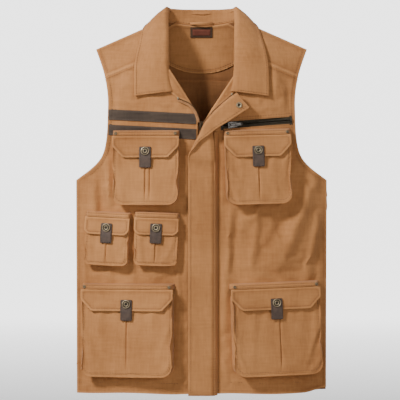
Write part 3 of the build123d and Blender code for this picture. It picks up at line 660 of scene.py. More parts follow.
@dataclass(frozen=True)
class HardFinish:
    """Leather, metal or thread: colours, gloss and the grain that breaks them."""

    name: str
    light: tuple[float, float, float]
    dark: tuple[float, float, float]
    metallic: float = 0.0
    roughness: float = 0.5
    grain: float = 700.0
    grain_depth: float = 0.0002
    patch: float = 160.0

    def material(self) -> bpy.types.Material:
        """Return the finish as a material."""
        material = bpy.data.materials.new(self.name)
        material.use_nodes = True
        tree = material.node_tree
        tree.nodes.clear()
        make = Nodes(tree)
        where = make.add("ShaderNodeTexCoord").outputs["Object"]
        patch = make.noise(where, self.patch, 4.0, 0.6)
        worn = make.math("MULTIPLY_ADD", patch, 2.2, -0.6)
        clamp = make.add("ShaderNodeClamp", {0: worn}).outputs[0]
        colour = make.mix(clamp, (*self.dark, 1), (*self.light, 1))
        grain = make.noise(where, self.grain, 3.0, 0.6)
        rough = make.math("MULTIPLY_ADD", grain, 0.25, self.roughness - 0.12)
        bump = make.add("ShaderNodeBump", {"Height": grain, "Strength": 0.7, "Distance": self.grain_depth}).outputs[0]
        shader = make.add("ShaderNodeBsdfPrincipled", {"Base Color": colour, "Roughness": rough, "Normal": bump})
        shader.inputs["Metallic"].default_value = self.metallic
        make.add("ShaderNodeOutputMaterial", {"Surface": shader.outputs[0]})
        return material


CANVAS = ClothFinish("tan_canvas", (0.52, 0.232, 0.080), (0.31, 0.125, 0.038))
FACING = ClothFinish("tan_facing", (0.51, 0.228, 0.080), (0.31, 0.125, 0.038))
# darker canvas for the inner side of the back panel and yoke: painted shade, the inside is this dark only from shadow
SHADED_INSIDE = ClothFinish("canvas_inside", (0.30, 0.125, 0.042), (0.17, 0.066, 0.020), rub=0.2)
WEBBING = ClothFinish("brown_webbing", (0.085, 0.058, 0.040), (0.045, 0.030, 0.021), thread=0.0022, slant=0.0,
                      crumple=30.0, crumple_depth=0.0004, weave_depth=0.0006, sheen=0.15)
DARK_TAPE = ClothFinish("dark_tape", (0.060, 0.046, 0.026), (0.032, 0.024, 0.013), thread=0.0012, slant=0.0,
                        weave_depth=0.0003, crumple_depth=0.0003, sheen=0.1)
TAN_TAPE = ClothFinish("tan_tape", (0.38, 0.175, 0.07), (0.24, 0.105, 0.040), thread=0.0012, slant=0.0,
                       weave_depth=0.0003, crumple_depth=0.0003)
LABEL = ClothFinish("woven_label", (0.075, 0.040, 0.020), (0.045, 0.022, 0.012), thread=0.0009, slant=0.0,
                    crumple_depth=0.0002, weave_depth=0.0002)
LABEL_FACE = ClothFinish("label_face", (0.16, 0.045, 0.025), (0.10, 0.028, 0.016), thread=0.0009, slant=0.0,
                         crumple_depth=0.0002, weave_depth=0.0002)
LEATHER = HardFinish("brown_leather", (0.085, 0.048, 0.030), (0.036, 0.020, 0.012), roughness=0.6, grain=900.0,
                     grain_depth=0.0005, patch=110.0)
BRASS = HardFinish("antique_brass", (0.46, 0.36, 0.22), (0.13, 0.09, 0.045), metallic=0.5, roughness=0.5)
OLD_BRASS = HardFinish("old_brass", (0.24, 0.165, 0.085), (0.07, 0.045, 0.022), metallic=0.4, roughness=0.55)
DARK_METAL = HardFinish("dark_snap", (0.035, 0.026, 0.016), (0.015, 0.011, 0.007), metallic=0.6, roughness=0.6)
GREY_METAL = HardFinish("grey_metal", (0.22, 0.20, 0.18), (0.06, 0.055, 0.05), metallic=0.8, roughness=0.35)
DARK_TOOTH = HardFinish("dark_teeth", (0.05, 0.04, 0.026), (0.022, 0.017, 0.010), metallic=0.3, roughness=0.45)
BRASS_TOOTH = HardFinish("brass_teeth", (0.15, 0.095, 0.048), (0.05, 0.032, 0.017), metallic=0.7, roughness=0.45)
# darker than the canvas: partly the thread's own brown, partly painted shade of the groove the stitches sink into
THREAD_WITH_GROOVE_SHADE = HardFinish("tan_thread", (0.22, 0.095, 0.034), (0.13, 0.055, 0.019), roughness=0.75, grain_depth=0.0001)
DARK_THREAD = HardFinish("brown_thread", (0.11, 0.075, 0.05), (0.06, 0.04, 0.03), roughness=0.75)


class Wardrobe:
    """Every material of the vest, made once."""

    def __init__(self) -> None:
        """Make the shared groups and the materials."""
        weave_group()
        fade_group()
        finishes = (CANVAS, FACING, SHADED_INSIDE, WEBBING, DARK_TAPE, TAN_TAPE, LABEL, LABEL_FACE, LEATHER, BRASS,
                    OLD_BRASS, DARK_METAL, GREY_METAL, DARK_TOOTH, BRASS_TOOTH, THREAD_WITH_GROOVE_SHADE, DARK_THREAD)
        self.materials = {finish.name: finish.material() for finish in finishes}

    def __getitem__(self, finish: ClothFinish | HardFinish) -> bpy.types.Material:
        """Return the material of a finish."""
        return self.materials[finish.name]


# ---------------------------------------------------------------------------------------------------
# repeated pieces along lines
# ---------------------------------------------------------------------------------------------------
@dataclass(frozen=True)
class RepeatTree:
    """A Geometry Nodes tree that sets one small shape at even steps along lines."""

    name: str
    long: float
    wide: float
    high: float
    step: float
    segments: int = 6

    def build(self, finish: bpy.types.Material) -> tuple[bpy.types.NodeTree, dict[str, str]]:
        """Build the tree.

        Args:
            finish: The material of the repeated shape.

        Returns:
            The tree and its inputs' identifiers by name.
        """
        tree = bpy.data.node_groups.new(self.name, "GeometryNodeTree")
        tree.interface.new_socket("Lines", in_out="INPUT", socket_type="NodeSocketGeometry")
        names = {}
        for key in ("Step", "Long", "Wide", "High"):
            names[key] = tree.interface.new_socket(key, in_out="INPUT", socket_type="NodeSocketFloat").identifier
        tree.interface.new_socket("Geometry", in_out="OUTPUT", socket_type="NodeSocketGeometry")
        make = Nodes(tree)
        source = make.add("NodeGroupInput").outputs
        curve = make.add("GeometryNodeMeshToCurve", {"Mesh": source["Lines"]}).outputs[0]
        spaced = make.add("GeometryNodeResampleCurve", {"Curve": curve}, mode="LENGTH")
        tree.links.new(source["Step"], spaced.inputs["Length"])
        ball = make.add("GeometryNodeMeshUVSphere", {"Segments": self.segments, "Rings": 4, "Radius": 0.5}).outputs[0]
        size = make.add("ShaderNodeCombineXYZ", {0: source["Wide"], 1: source["High"], 2: source["Long"]}).outputs[0]
        bead = make.add("GeometryNodeTransform", {"Geometry": ball, "Scale": size}).outputs[0]
        tangent = make.add("GeometryNodeInputTangent").outputs[0]
        turn = make.add("FunctionNodeAlignRotationToVector", {"Vector": tangent}, axis="Z").outputs[0]
        placed = make.add(
            "GeometryNodeInstanceOnPoints", {"Points": spaced.outputs[0], "Instance": bead, "Rotation": turn}
        ).outputs[0]
        real = make.add("GeometryNodeRealizeInstances", {"Geometry": placed}).outputs[0]
        dressed = make.add("GeometryNodeSetMaterial", {"Geometry": real, "Material": finish}).outputs[0]
        make.add("NodeGroupOutput", {0: dressed})
        return tree, names

    def run(self, name: str, lines: Sequence[Sequence[Vector]], finish: bpy.types.Material) -> bpy.types.Object:
        """Set the shape along lines and return it as one plain mesh object.

        Args:
            name: The new object's name.
            lines: Lines of points in the frame.
            finish: The material.

        Returns:
            The object.
        """
        points, edges = [], []
        for line in lines:
            start = len(points)
            points += list(line)
            edges += [(start + i, start + i + 1) for i in range(len(line) - 1)]
        thing = mesh_object(name, points, [], edges)
        tree, names = self.build(finish)
        repeat = thing.modifiers.new("repeat", "NODES")
        repeat.node_group = tree
        for key, value in (("Step", self.step), ("Long", self.long), ("Wide", self.wide), ("High", self.high)):
            repeat[names[key]] = value * MM
        apply_modifiers(thing)
        thing.data.shade_smooth()
        return thing


STITCH = RepeatTree("stitch_row", long=3.5, wide=1.0, high=0.9, step=5.2)
TOOTH = RepeatTree("tooth_row", long=1.5, wide=2.9, high=2.4, step=2.3, segments=8)


class SewingBox:
    """Collects stitch lines by body and finish, and sews them at the end."""

    def __init__(self) -> None:
        """Start with no lines."""
        self.lines: dict[tuple[str, str], list[list[Vector]]] = {}

    def add(self, body: str, line: Sequence[Vector], finish: HardFinish = THREAD_WITH_GROOVE_SHADE) -> None:
        """Keep one line of stitches for a body."""
        self.lines.setdefault((body, finish.name), []).append(list(line))

    def sew(self, wardrobe: Wardrobe) -> None:
        """Make each body's stitches as one piece."""
        for (body, finish), lines in sorted(self.lines.items()):
            name = f"{finish}_{body}"
            piece = STITCH.run(name, lines, wardrobe.materials[finish])
            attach(piece, body)
            LOG.info("%s: %d lines, %d faces", name, len(lines), len(piece.data.polygons))


# ---------------------------------------------------------------------------------------------------
# cloth settling
# ---------------------------------------------------------------------------------------------------
@dataclass
class Settling:
    """One sheet in the settling run, with the cloth's behaviour."""

    piece: bpy.types.Object
    pins: np.ndarray
    grow: float
    cap: float
    gravity: float
    stiff: float
    moved: np.ndarray | None = None


class SettlingTank:
    """Runs every sheet's cloth simulation in one pass and keeps the result as plain mesh."""

    frames = 22
    quality = 6
    mass = 0.25
    shear = 4.0
    bending = 0.35
    damping = 3.0

    def __init__(self) -> None:
        """Start with no sheets."""
        self.jobs: list[Settling] = []

    def add(self, piece: bpy.types.Object, pins: np.ndarray, grow: float = 0.02, cap: float = 4.0,
            gravity: float = 0.4, stiff: float = 12.0) -> None:
        """Queue a sheet.

        Args:
            piece: A sheet one layer thick.
            pins: For each vertex, 1 where it is sewn down and 0 where it is free.
            grow: How much larger the cloth is than the space it is held in.
            cap: How far a point may move, in millimetres.
            gravity: Share of gravity that acts.
            stiff: Stretch stiffness.
        """
        self.jobs.append(Settling(piece, pins, grow, cap, gravity, stiff))

    def run(self) -> None:
        """Simulate all sheets together."""
        if not self.jobs:
            return
        scene = bpy.context.scene
        scene.frame_set(1)
        for job in self.jobs:
            group = job.piece.vertex_groups.new(name="sewn")
            for weight in np.unique(job.pins):
                members = [int(i) for i in np.nonzero(job.pins == weight)[0]]
                group.add(members, float(weight), "REPLACE")
            cloth = job.piece.modifiers.new("cloth", "CLOTH")
            settings = cloth.settings
            settings.quality = self.quality
            settings.mass = self.mass
            settings.tension_stiffness = job.stiff
            settings.compression_stiffness = job.stiff
            settings.shear_stiffness = self.shear
            settings.bending_stiffness = self.bending
            settings.air_damping = self.damping
            settings.vertex_group_mass = "sewn"
            settings.shrink_min = -job.grow
            settings.effector_weights.gravity = job.gravity
            cloth.collision_settings.use_collision = False
            cloth.collision_settings.use_self_collision = False
            cloth.point_cache.frame_start = 1
            cloth.point_cache.frame_end = self.frames
        for step in range(1, self.frames + 1):
            scene.frame_set(step)
        graph = bpy.context.evaluated_depsgraph_get()
        for job in self.jobs:
            mesh = job.piece.data
            count = len(mesh.vertices)
            rest, moved = np.empty(count * 3), np.empty(count * 3)
            mesh.vertices.foreach_get("co", rest)
            job.piece.evaluated_get(graph).data.vertices.foreach_get("co", moved)
            rest, moved = rest.reshape(-1, 3), moved.reshape(-1, 3)
            step = moved - rest
            size = np.linalg.norm(step, axis=1, keepdims=True)
            limit = job.cap * MM
            step *= np.where(size > 1e-9, limit * np.tanh(size / limit) / np.maximum(size, 1e-9), 0)
            LOG.info("settled %s: most %.1f mm", job.piece.name, 1000 * np.abs(step).max())
            job.moved = (rest + step).astype(np.float32)
        for job in self.jobs:
            job.piece.modifiers.clear()
            job.piece.vertex_groups.clear()
            job.piece.data.vertices.foreach_set("co", job.moved.ravel())
            job.piece.data.update()
        scene.frame_set(1)


def face_toward(piece: bpy.types.Object, way: Vector) -> None:
    """Turn an open piece's faces round where they look away from a direction.

    Args:
        piece: The open piece.
        way: The direction that its outer side faces.
    """
    if sum(face.normal.dot(way) * face.area for face in piece.data.polygons) < 0:
        piece.data.flip_normals()


def declare_sheet(piece: bpy.types.Object, area: float, width: float, length: float, held: str,
                  rests_on: Sequence[str]) -> None:
    """Declare a cloth piece with the flat size it was cut to.

    Args:
        piece: The finished cloth piece; not used.
        area: The cut's area in square metres; not used.
        width: The cut's width in millimetres; not used.
        length: The cut's length in millimetres; not used.
        held: How the cloth is held, in the frame's own words; not used.
        rests_on: The pieces that carry it.
    """
    list(rests_on)


# ---------------------------------------------------------------------------------------------------
# outlines shared by the panels
# ---------------------------------------------------------------------------------------------------
@dataclass(frozen=True)
class Lines:
    """Seam and edge lines of the vest in layout millimetres."""

    form: BodyForm
    shoulder_in: float = 40.0
    armhole_in: float = 65.0
    armhole_drop: float = 308.0
    neck_half: float = 76.0
    yoke_drop: float = 73.0
    yoke_slope: float = 0.41
    yoke_at: float = 131.0
    back_yoke_drop: float = 105.0
    front_edge: float = 8.0
    v_drop: float = 199.0

    def armhole(self, hand: Hand) -> Line:
        """Return the armhole edge from the shoulder tip to the underarm."""
        wide = self.form.half_width
        tip, narrow = wide - self.shoulder_in, wide - self.armhole_in
        top, under = self.form.shoulder(tip), self.form.below(self.armhole_drop)
        deep = top - under
        points = [
            (tip, top), (narrow + 6, under + 0.78 * deep), (narrow, under + 0.54 * deep),
            (narrow + 11, under + 0.19 * deep), (wide, under),
        ]
        return [(hand.value * x, z) for x, z in curve_through(points, 10)]

    def hem(self, x: float) -> float:
        """Return the height of the wavy hem at x."""
        rise = 9.0 * smooth(x, 205, 251)
        return rise + 1.2 * math.sin(x / 31.0) * smooth(abs(x), 10, 60) + 1.0

    def yoke_seam(self, x: float) -> float:
        """Return the height of the front yoke seam at x."""
        return self.form.below(self.yoke_drop) - self.yoke_slope * (abs(x) - self.yoke_at)

    def roll(self, hand: Hand) -> Line:
        """Return the roll line of the open V from the zip up to the yoke seam."""
        below = self.form.below
        if hand is Hand.RIGHT:
            return [(-5.0, below(184)), (-13.0, below(168)), (-22.0, below(152)), (-44.0, below(117)),
                    (-66.0, below(83)), (-72.0, below(48))]
        return [(3.0, below(192)), (20.0, below(166)), (45.0, below(128)), (70.0, below(90)), (75.0, below(48))]

    def zip_edge(self, hand: Hand) -> Line:
        """Return the line of the opened zip from the slider up to its top stop."""
        below = self.form.below
        if hand is Hand.RIGHT:
            points = [(-3, below(192)), (-6, below(181)), (-11, below(169)), (-21, below(157)), (-34, below(150)),
                      (-47, below(145))]
        else:
            points = [(3, below(194)), (8, below(188)), (15, below(180)), (26, below(167)), (45, below(151)),
                      (61, below(137))]
        return curve_through(points, 5)

    def seam_split(self, edge: Line, height: Callable[[float], float]) -> int:
        """Return the first index of an armhole line that lies below a seam."""
        return next(i for i, (x, z) in enumerate(edge) if z < height(x))

    def front(self, hand: Hand) -> Line:
        """Return the outline of one front below its yoke."""
        side = hand.value
        wide = self.form.half_width
        hem = [(side * x, self.hem(side * x)) for x in np.linspace(wide - 1.5, self.front_edge, 24)]
        arm = self.armhole(hand)
        start = self.seam_split(arm, self.yoke_seam)
        inner = self.roll(hand)[-1][0]
        seam = [(x, self.yoke_seam(x)) for x in np.linspace(inner, arm[start][0], 14)]
        outline = hem + [(side * self.front_edge, self.roll(hand)[0][1] - 6)] + self.roll(hand)[1:-1] + seam
        return outline + arm[start + 1:]

    def front_yoke(self, hand: Hand) -> Line:
        """Return the outline of one shoulder yoke."""
        side = hand.value
        arm = self.armhole(hand)
        start = self.seam_split(arm, self.yoke_seam)
        inner = self.roll(hand)[-1][0]
        seam = [(x, self.yoke_seam(x)) for x in np.linspace(arm[start][0], inner, 14)]
        tip = self.form.half_width - self.shoulder_in
        ridge = [(side * x, self.form.shoulder(x)) for x in np.linspace(self.neck_half, tip, 14)]
        return seam + ridge + arm[1:start]

    def neck_seam(self, x: float) -> float:
        """Return the height of the back neck seam at x."""
        side = self.form.shoulder(self.neck_half)
        middle = self.form.length + 6.0
        return middle + (side - middle) * (x / self.neck_half) ** 2

    def back(self, yoke: bool) -> Line:
        """Return the outline of the back panel or of the back yoke."""
        cut = self.form.below(self.back_yoke_drop)
        left, right = self.armhole(Hand.LEFT), self.armhole(Hand.RIGHT)
        start = self.seam_split(left, lambda x: cut)
        if yoke:
            ridge = [(x, self.form.shoulder(x)) for x in np.linspace(left[0][0], self.neck_half, 12)]
            neck = [(x, self.neck_seam(x)) for x in np.linspace(self.neck_half, -self.neck_half, 20)[1:-1]]
            other = [(-x, z) for x, z in reversed(ridge)]
            return left[:start][::-1] + ridge[1:] + neck + other + right[1:start] + [(right[start][0], cut)] + [
                (left[start][0], cut)]
        wide = self.form.half_width - 1.5
        hem = [(x, self.hem(x) * 0.6) for x in np.linspace(-wide, wide, 40)]
        top = [(left[start][0], cut), (right[start][0], cut)]
        return hem + left[start:][::-1] + top + right[start:]


# ---------------------------------------------------------------------------------------------------
# sub-assemblies
# ---------------------------------------------------------------------------------------------------
@dataclass
class Workshop:
    """What every sub-assembly shares."""

    form: BodyForm
    lines: Lines
    wardrobe: Wardrobe
    sewing: SewingBox
    tank: SettlingTank

    def sheet(self, name: str, pattern: Pattern, place: Callable[[float, float, float], Vector],
              flip: bool = False, relief: float = 0.7) -> tuple[bpy.types.Object, np.ndarray, np.ndarray]:
        """Cut a pattern and lay it in place, one layer thick.

        Args:
            name: The piece's name.
            pattern: The flat pattern.
            place: Turns layout x, z and a lift into a place.
            flip: Whether the faces are turned round, for the back.
            relief: Height of the doubled edge in millimetres.

        Returns:
            The object, its flat points and each point's distance from the outline.
        """
        flat, tris = pattern.divided()
        reach = edge_distance(flat, densify(pattern.outline, 6, closed=True))
        points = []
        for (x, z), d in zip(flat, reach):
            lift = relief * (1 - smooth(d, 5.0, 8.0)) - 0.35 * math.exp(-(((d - 5.2) / 1.3) ** 2))
            points.append(place(x, z, lift if relief else 0.0))
        faces = [(a, c, b) for a, b, c in tris] if flip else tris
        piece = mesh_object(name, points, faces)
        # paler edges (wear and painted highlight) and painted shade in the groove beside the stitch line
        wear(piece, reach)
        return piece, flat, reach

    def finish(self, piece: bpy.types.Object, thick: float, finish: ClothFinish | HardFinish, body: str,
               slot: str, *nodes: str) -> bpy.types.Object:
        """Thicken, dress and mount a sheet, and let it stand for CAD nodes."""
        thicken(piece, thick)
        return self.mount(piece, finish, body, slot, *nodes)

    def assemble(self, name: str, parts: Sequence[bpy.types.Object], finish: "ClothFinish | HardFinish", slot: str,
                 node: str, *angle: float) -> None:
        """Join parts into one smooth piece that stands for a node on the vest.

        Args:
            name: The new piece's name.
            parts: The parts to join.
            finish: The piece's finish.
            slot: A material slot name; not used.
            node: The node that it stands for.
            angle: The sharpest angle in degrees that is still shaded smooth, where it isn't the usual one.
        """
        whole = join(name, parts)
        shade(whole, *angle)
        self.mount(whole, finish, "vest", slot, node)

    def mount(self, piece: bpy.types.Object, finish: ClothFinish | HardFinish, body: str, slot: str,
              *nodes: str) -> bpy.types.Object:
        """Dress a finished mesh, ride it on a body and let it stand for CAD nodes."""
        dress(piece, self.wardrobe[finish])
        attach(piece, body)
        if nodes:
            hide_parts(*nodes)
        LOG.info("%s: %d faces", piece.name, len(piece.data.polygons))
        return piece

    def on(self, face: Face) -> Callable[[float, float, float], Vector]:
        """Return the placing function of one half of the body."""
        return lambda x, z, lift: self.form.place(face, x, z, lift)

    def stitch(self, line: Line, face: Face = Face.FRONT, lift: float = 0.75, body: str = "vest",
               finish: HardFinish = THREAD_WITH_GROOVE_SHADE, step: float = 6.0) -> None:
        """Add a stitch line on the body's cloth."""
        self.sewing.add(body, [self.form.place(face, x, z, lift) for x, z in densify(line, step)], finish)


@dataclass
class Panels:
    """The cloth panels of the body, with their seams and edge stitching."""

    shop: Workshop
    thick: float = 1.7
    grow: float = 0.018
    pieces: dict[str, tuple[bpy.types.Object, Pattern]] = field(default_factory=dict)

    def patterns(self) -> dict[str, tuple[Pattern, Face]]:
        """Return each panel's pattern and the half it lies on."""
        lines = self.shop.lines
        zip_slot = ChestZip(self.shop).slot_outline()
        return {
            "right_front": (Pattern(lines.front(Hand.RIGHT), 6.5), Face.FRONT),
            "left_front": (Pattern(lines.front(Hand.LEFT), 6.5, [zip_slot]), Face.FRONT),
            "right_shoulder_yoke": (Pattern(lines.front_yoke(Hand.RIGHT), 6.0), Face.FRONT),
            "left_shoulder_yoke": (Pattern(lines.front_yoke(Hand.LEFT), 6.0), Face.FRONT),
            "back_panel": (Pattern(lines.back(False), 8.0), Face.BACK),
            "back_yoke": (Pattern(lines.back(True), 7.0), Face.BACK),
        }

    def cut(self, covered: Sequence[Line]) -> None:
        """Cut and lay the panels, and queue the large ones for settling.

        Args:
            covered: Outlines where something is sewn on, so that the cloth stays put.
        """
        for name, (pattern, face) in self.patterns().items():
            piece, flat, reach = self.shop.sheet(
                f"cloth_{name}", pattern, self.shop.on(face), flip=face is Face.BACK)
            self.pieces[name] = (piece, pattern)
            if name.endswith("yoke"):
                continue
            pins = 1 - np.array([smooth(d, 9, 22) for d in reach])
            if face is Face.FRONT:
                for outline in covered:
                    held = inside(flat, outline)
                    near = edge_distance(flat, outline)
                    pins = np.maximum(pins, np.where(held, 1.0, 1 - np.array([smooth(d, 3, 14) for d in near])))
            self.shop.tank.add(piece, np.round(pins, 2), grow=self.grow, cap=4.5, gravity=0.3)

    def build(self) -> None:
        """Finish the panels and sew their seams."""
        for name, (piece, pattern) in self.pieces.items():
            points = np.array(pattern.outline)
            width, length = points.max(0) - points.min(0)
            behind = name.startswith("back")
            thicken(piece, self.thick, painted_shade_inside=behind)
            inner = [face.index for face in piece.data.polygons if face.material_index == 1]
            self.shop.mount(piece, CANVAS, "vest", "canvas", name)
            # the inner faces of the back take the darker canvas: painted shade inside the vest
            if behind:
                piece.data.materials.append(self.shop.wardrobe[SHADED_INSIDE])
                for index in inner:
                    piece.data.polygons[index].material_index = 1
            declare_sheet(piece, pattern.area(), width, length, "hung", ["collar_stand"])
        self.sew()

    def sew(self) -> None:
        """Add the double rows at the yokes, and the rows along armholes, sides and hem."""
        lines, stitch = self.shop.lines, self.shop.stitch
        wide = self.shop.form.half_width
        for hand in Hand:
            arm = lines.armhole(hand)
            for face in Face:
                stitch(beside(arm, -hand.value * 8.0)[1:-4], face)
            start = lines.seam_split(arm, lines.yoke_seam)
            ends = (lines.roll(hand)[-1][0], arm[start][0])
            for drop in (2.2, 7.5):
                stitch([(x, lines.yoke_seam(x) - drop) for x in np.linspace(ends[0], ends[1], 20)])
            side = hand.value
            hem = [(side * x, lines.hem(side * x) + 22.0) for x in np.linspace(wide - 6, 12, 30)]
            stitch(hem, lift=0.25)
            back = [(side * (wide - 7), z) for z in np.linspace(30, self.shop.form.below(320), 20)]
            stitch(back, Face.BACK, lift=0.3)
        cut = self.shop.form.below(lines.back_yoke_drop)
        for rise in (2.2, 7.5):
            stitch([(x, cut + rise) for x in np.linspace(-186, 186, 30)], Face.BACK)
        stitch([(x, 0.6 * lines.hem(x) + 22.0) for x in np.linspace(6 - wide, wide - 6, 50)], Face.BACK, 0.25)


@dataclass
class Trim:
    """Inner facings of the armholes and the hem."""

    shop: Workshop
    width: float = 10.0
    hem: float = 23.0
    thick: float = 1.0

    def strip(self, name: str, outline: Line, face: Face) -> bpy.types.Object:
        """Lay one facing strip inside the cloth."""
        inner = -self.shop.form.cloth - 0.1
        piece, _, _ = self.shop.sheet(
            name, Pattern(outline, 6.0, rings=()), lambda x, z, lift: self.shop.form.place(face, x, z, inner),
            flip=face is Face.BACK, relief=0.0)
        thicken(piece, self.thick)
        return dress(piece, self.shop.wardrobe[FACING])

    def build(self) -> None:
        """Make the armhole and hem facings."""
        lines, wide = self.shop.lines, self.shop.form.half_width
        for hand in Hand:
            arm = lines.armhole(hand)[2:-5]
            band = arm + beside(arm, -hand.value * self.width)[::-1]
            name = f"{hand.name.lower()}_armhole_facing"
            parts = [self.strip(f"{name}_{face.name.lower()}", band, face) for face in Face]
            self.shop.assemble(f"cloth_{name}", parts, FACING, "facing", name)
        parts = []
        edge = wide - 14
        for face, start, end in ((Face.BACK, -edge, edge), (Face.FRONT, -edge, -22), (Face.FRONT, 22, edge)):
            xs = np.linspace(start, end, 40)
            share = 0.6 if face is Face.BACK else 1.0
            low = [(x, share * lines.hem(x) + 0.5) for x in xs]
            high = [(x, share * lines.hem(x) + self.hem) for x in reversed(xs)]
            parts.append(self.strip(f"hem_{face.name}_{int(start)}", low + high, face))
        self.shop.assemble("cloth_hem_facing", parts, FACING, "facing", "hem_facing")


@dataclass
class Neck:
    """Collar stand, turned-down collar, half-moon facing, label and hanger loop."""

    shop: Workshop
    stand_height: float = 34.0
    seam_rise: float = 6.0
    half_moon_drop: float = 90.0
    label_width: float = 45.0
    label_height: float = 21.0

    def depth(self) -> float:
        """Return how far behind the side seams the back neck seam lies."""
        form = self.shop.form
        return form.stand_off(0, form.length + self.seam_rise)

    def stand(self) -> None:
        """Make the upright band at the back of the neck."""
        form, lines = self.shop.form, self.shop.lines
        half_x, half_y = lines.neck_half - 2, self.depth() + form.cloth
        top = form.length + self.seam_rise + self.stand_height
        rows = []
        for k in range(9):
            row = []
            for i in range(49):
                angle = math.pi * i / 48
                x, y = half_x * math.cos(angle), half_y * math.sin(angle)
                low = lines.neck_seam(x) + 0.3
                z = low + (top - low - 0.8) * k / 8
                row.append(form.world(x, y + 0.5 * math.sin(math.pi * k / 8), z))
            rows.append(row)
        piece = grid_object("cloth_collar_stand", rows)
        thicken(piece, 2.2)
        recalculated(piece)
        self.shop.mount(piece, CANVAS, "vest", "canvas", "collar_stand")
        line = []
        for i in range(4, 45):
            angle = math.pi * i / 48
            x, y = (half_x - 2.6) * math.cos(angle), (half_y - 2.7) * math.sin(angle)
            line.append(form.world(x, y, lines.neck_seam(x) + 4))
        self.shop.sewing.add("vest", line)

    def collar_lines(self) -> tuple[list[tuple[float, ...]], list[tuple[float, ...]]]:
        """Return the collar's fold and its outer edge from the back neck to the left point."""
        form, lines = self.shop.form, self.shop.lines
        top = form.length + self.seam_rise + self.stand_height
        rear = self.depth() + form.cloth
        lift = form.cloth + 6.5
        neck = lines.neck_half

        def lying(x: float, drop: float, more: float = 0.0) -> tuple[float, float, float]:
            z = form.below(drop)
            return (x, -form.stand_off(x, z) - lift - more, z)

        fold = [
            (0, rear + 2.6, top - 1), (neck * 0.45, rear * 0.93 + 2.6, top), (neck * 0.8, rear * 0.6 + 2.5, top + 1),
            (neck * 0.95, rear * 0.05, top), (neck - 4, -form.stand_off(neck, form.below(16)) - lift, form.below(14)),
            lying(neck - 4, 64), lying(neck - 7, 105), lying(62, 131),
        ]
        edge = [
            (0, rear + 18, form.below(3)), (neck * 0.55, rear + 15, form.below(1)),
            (neck * 1.05, rear + 6, form.below(-4)), (form.shoulder_neck, 3, form.shoulder(form.shoulder_neck) + 6),
            lying(form.shoulder_neck + 12, 31, -1.5), lying(134, 73), lying(135, 110), lying(135, 140),
        ]
        return fold, edge

    def collar(self) -> None:
        """Make the collar as one thick sheet with a soft roll at its fold."""
        fold, edge = self.collar_lines()
        fold, edge = curve_through(fold, 9), curve_through(edge, 9)
        across = 15
        rows = []
        for side in (-1, 1):
            pairs = list(zip(fold, edge))
            half = []
            for (fx, fy, fz), (ex, ey, ez) in pairs:
                half.append(((side * fx, fy, fz), (side * ex, ey, ez)))
            rows += half[::-1] if side < 0 else half[1:]
        grid, count = [], len(rows)
        for i, (a, b) in enumerate(rows):
            along = 2 * i / (count - 1) - 1
            grid.append(self.collar_row(np.array(a), np.array(b), along, across))
        piece = grid_object("cloth_collar_fall", grid)
        recalculated(piece)
        self.outward(piece)
        cut_area = cloth_area(piece)
        thicken(piece, 2.6)
        self.shop.mount(piece, CANVAS, "vest", "canvas", "collar_fall")
        declare_sheet(piece, cut_area, 480, 120, "folded", ["cloth_collar_stand"])
        inset = across + 2
        raised = lambda i, k: grid[i][k] + self.lift_of(grid, i, k) * 0.5 * MM
        self.shop.sewing.add("vest", [raised(i, inset) for i in range(2, len(grid) - 2)])
        for end in (2, len(grid) - 3):
            self.shop.sewing.add("vest", [raised(end, k) for k in range(6, inset + 1)])

    def lift_of(self, grid: list[list[Vector]], i: int, k: int) -> Vector:
        """Return the outward direction of the collar at a grid point."""
        a = grid[min(i + 1, len(grid) - 1)][k] - grid[max(i - 1, 0)][k]
        b = grid[i][min(k + 1, len(grid[i]) - 1)] - grid[i][max(k - 1, 0)]
        out = a.cross(b).normalized()
        centre = self.shop.form.world(0, -10, self.shop.form.length - 60)
        return out if out.dot(grid[i][k] - centre) > 0 else -out

    def outward(self, piece: bpy.types.Object) -> None:
        """Turn the open collar sheet so that its normals point away from the neck."""
        mesh = piece.data
        centre = self.shop.form.world(0, 0, self.shop.form.length - 60)
        score = sum(f.normal.dot(f.center - centre) * f.area for f in mesh.polygons)
        if score < 0:
            mesh.flip_normals()

    def collar_row(self, fold: np.ndarray, edge: np.ndarray, along: float, across: int) -> list[Vector]:
        """Return one row of the collar, from inside the neck over the fold to the outer edge."""
        form = self.shop.form
        inner = np.array([math.copysign(1, fold[0]) if abs(fold[0]) > 1 else 0.0, 0.0, 0.0])
        flat = np.array([fold[0], fold[1], 0.0])
        if abs(along) < 0.35 and np.linalg.norm(flat) > 0:
            inner = flat / np.linalg.norm(flat)
        run = edge - fold
        out = np.array([0.0, -1.0, 0.0]) if fold[2] < form.below(20) else inner
        blend = smooth(abs(along), 0.35, 0.75)
        out = inner * (1 - blend) + np.array([0.0, -1.0, 0.0]) * blend
        out = out / np.linalg.norm(out)
        row = []
        for k in range(4):
            t = (4 - k) / 4
            down = np.array([0.0, 0.0, -1.0])
            back = -inner * 4.0 * t + down * 10.0 * t * (1 - blend) + np.array([0.0, 6.0, 0.0]) * t * blend
            row.append(form.world(*(fold + back - inner * 3.0 * math.sin(math.pi * t / 2))))
        wave = 1.2 * math.sin(along * 9.0) + 0.8 * math.sin(along * 23.0)
        for k in range(across):
            t = k / (across - 1)
            crown = 4.0 * math.sin(math.pi * min(t * 1.15, 1.0)) * (1 - 0.4 * t)
            tip = 1.6 * smooth(abs(along), 0.9, 1.0) * t * t
            row.append(form.world(*(fold + run * t + out * (crown + wave * t * 0.6 + tip))))
        return row

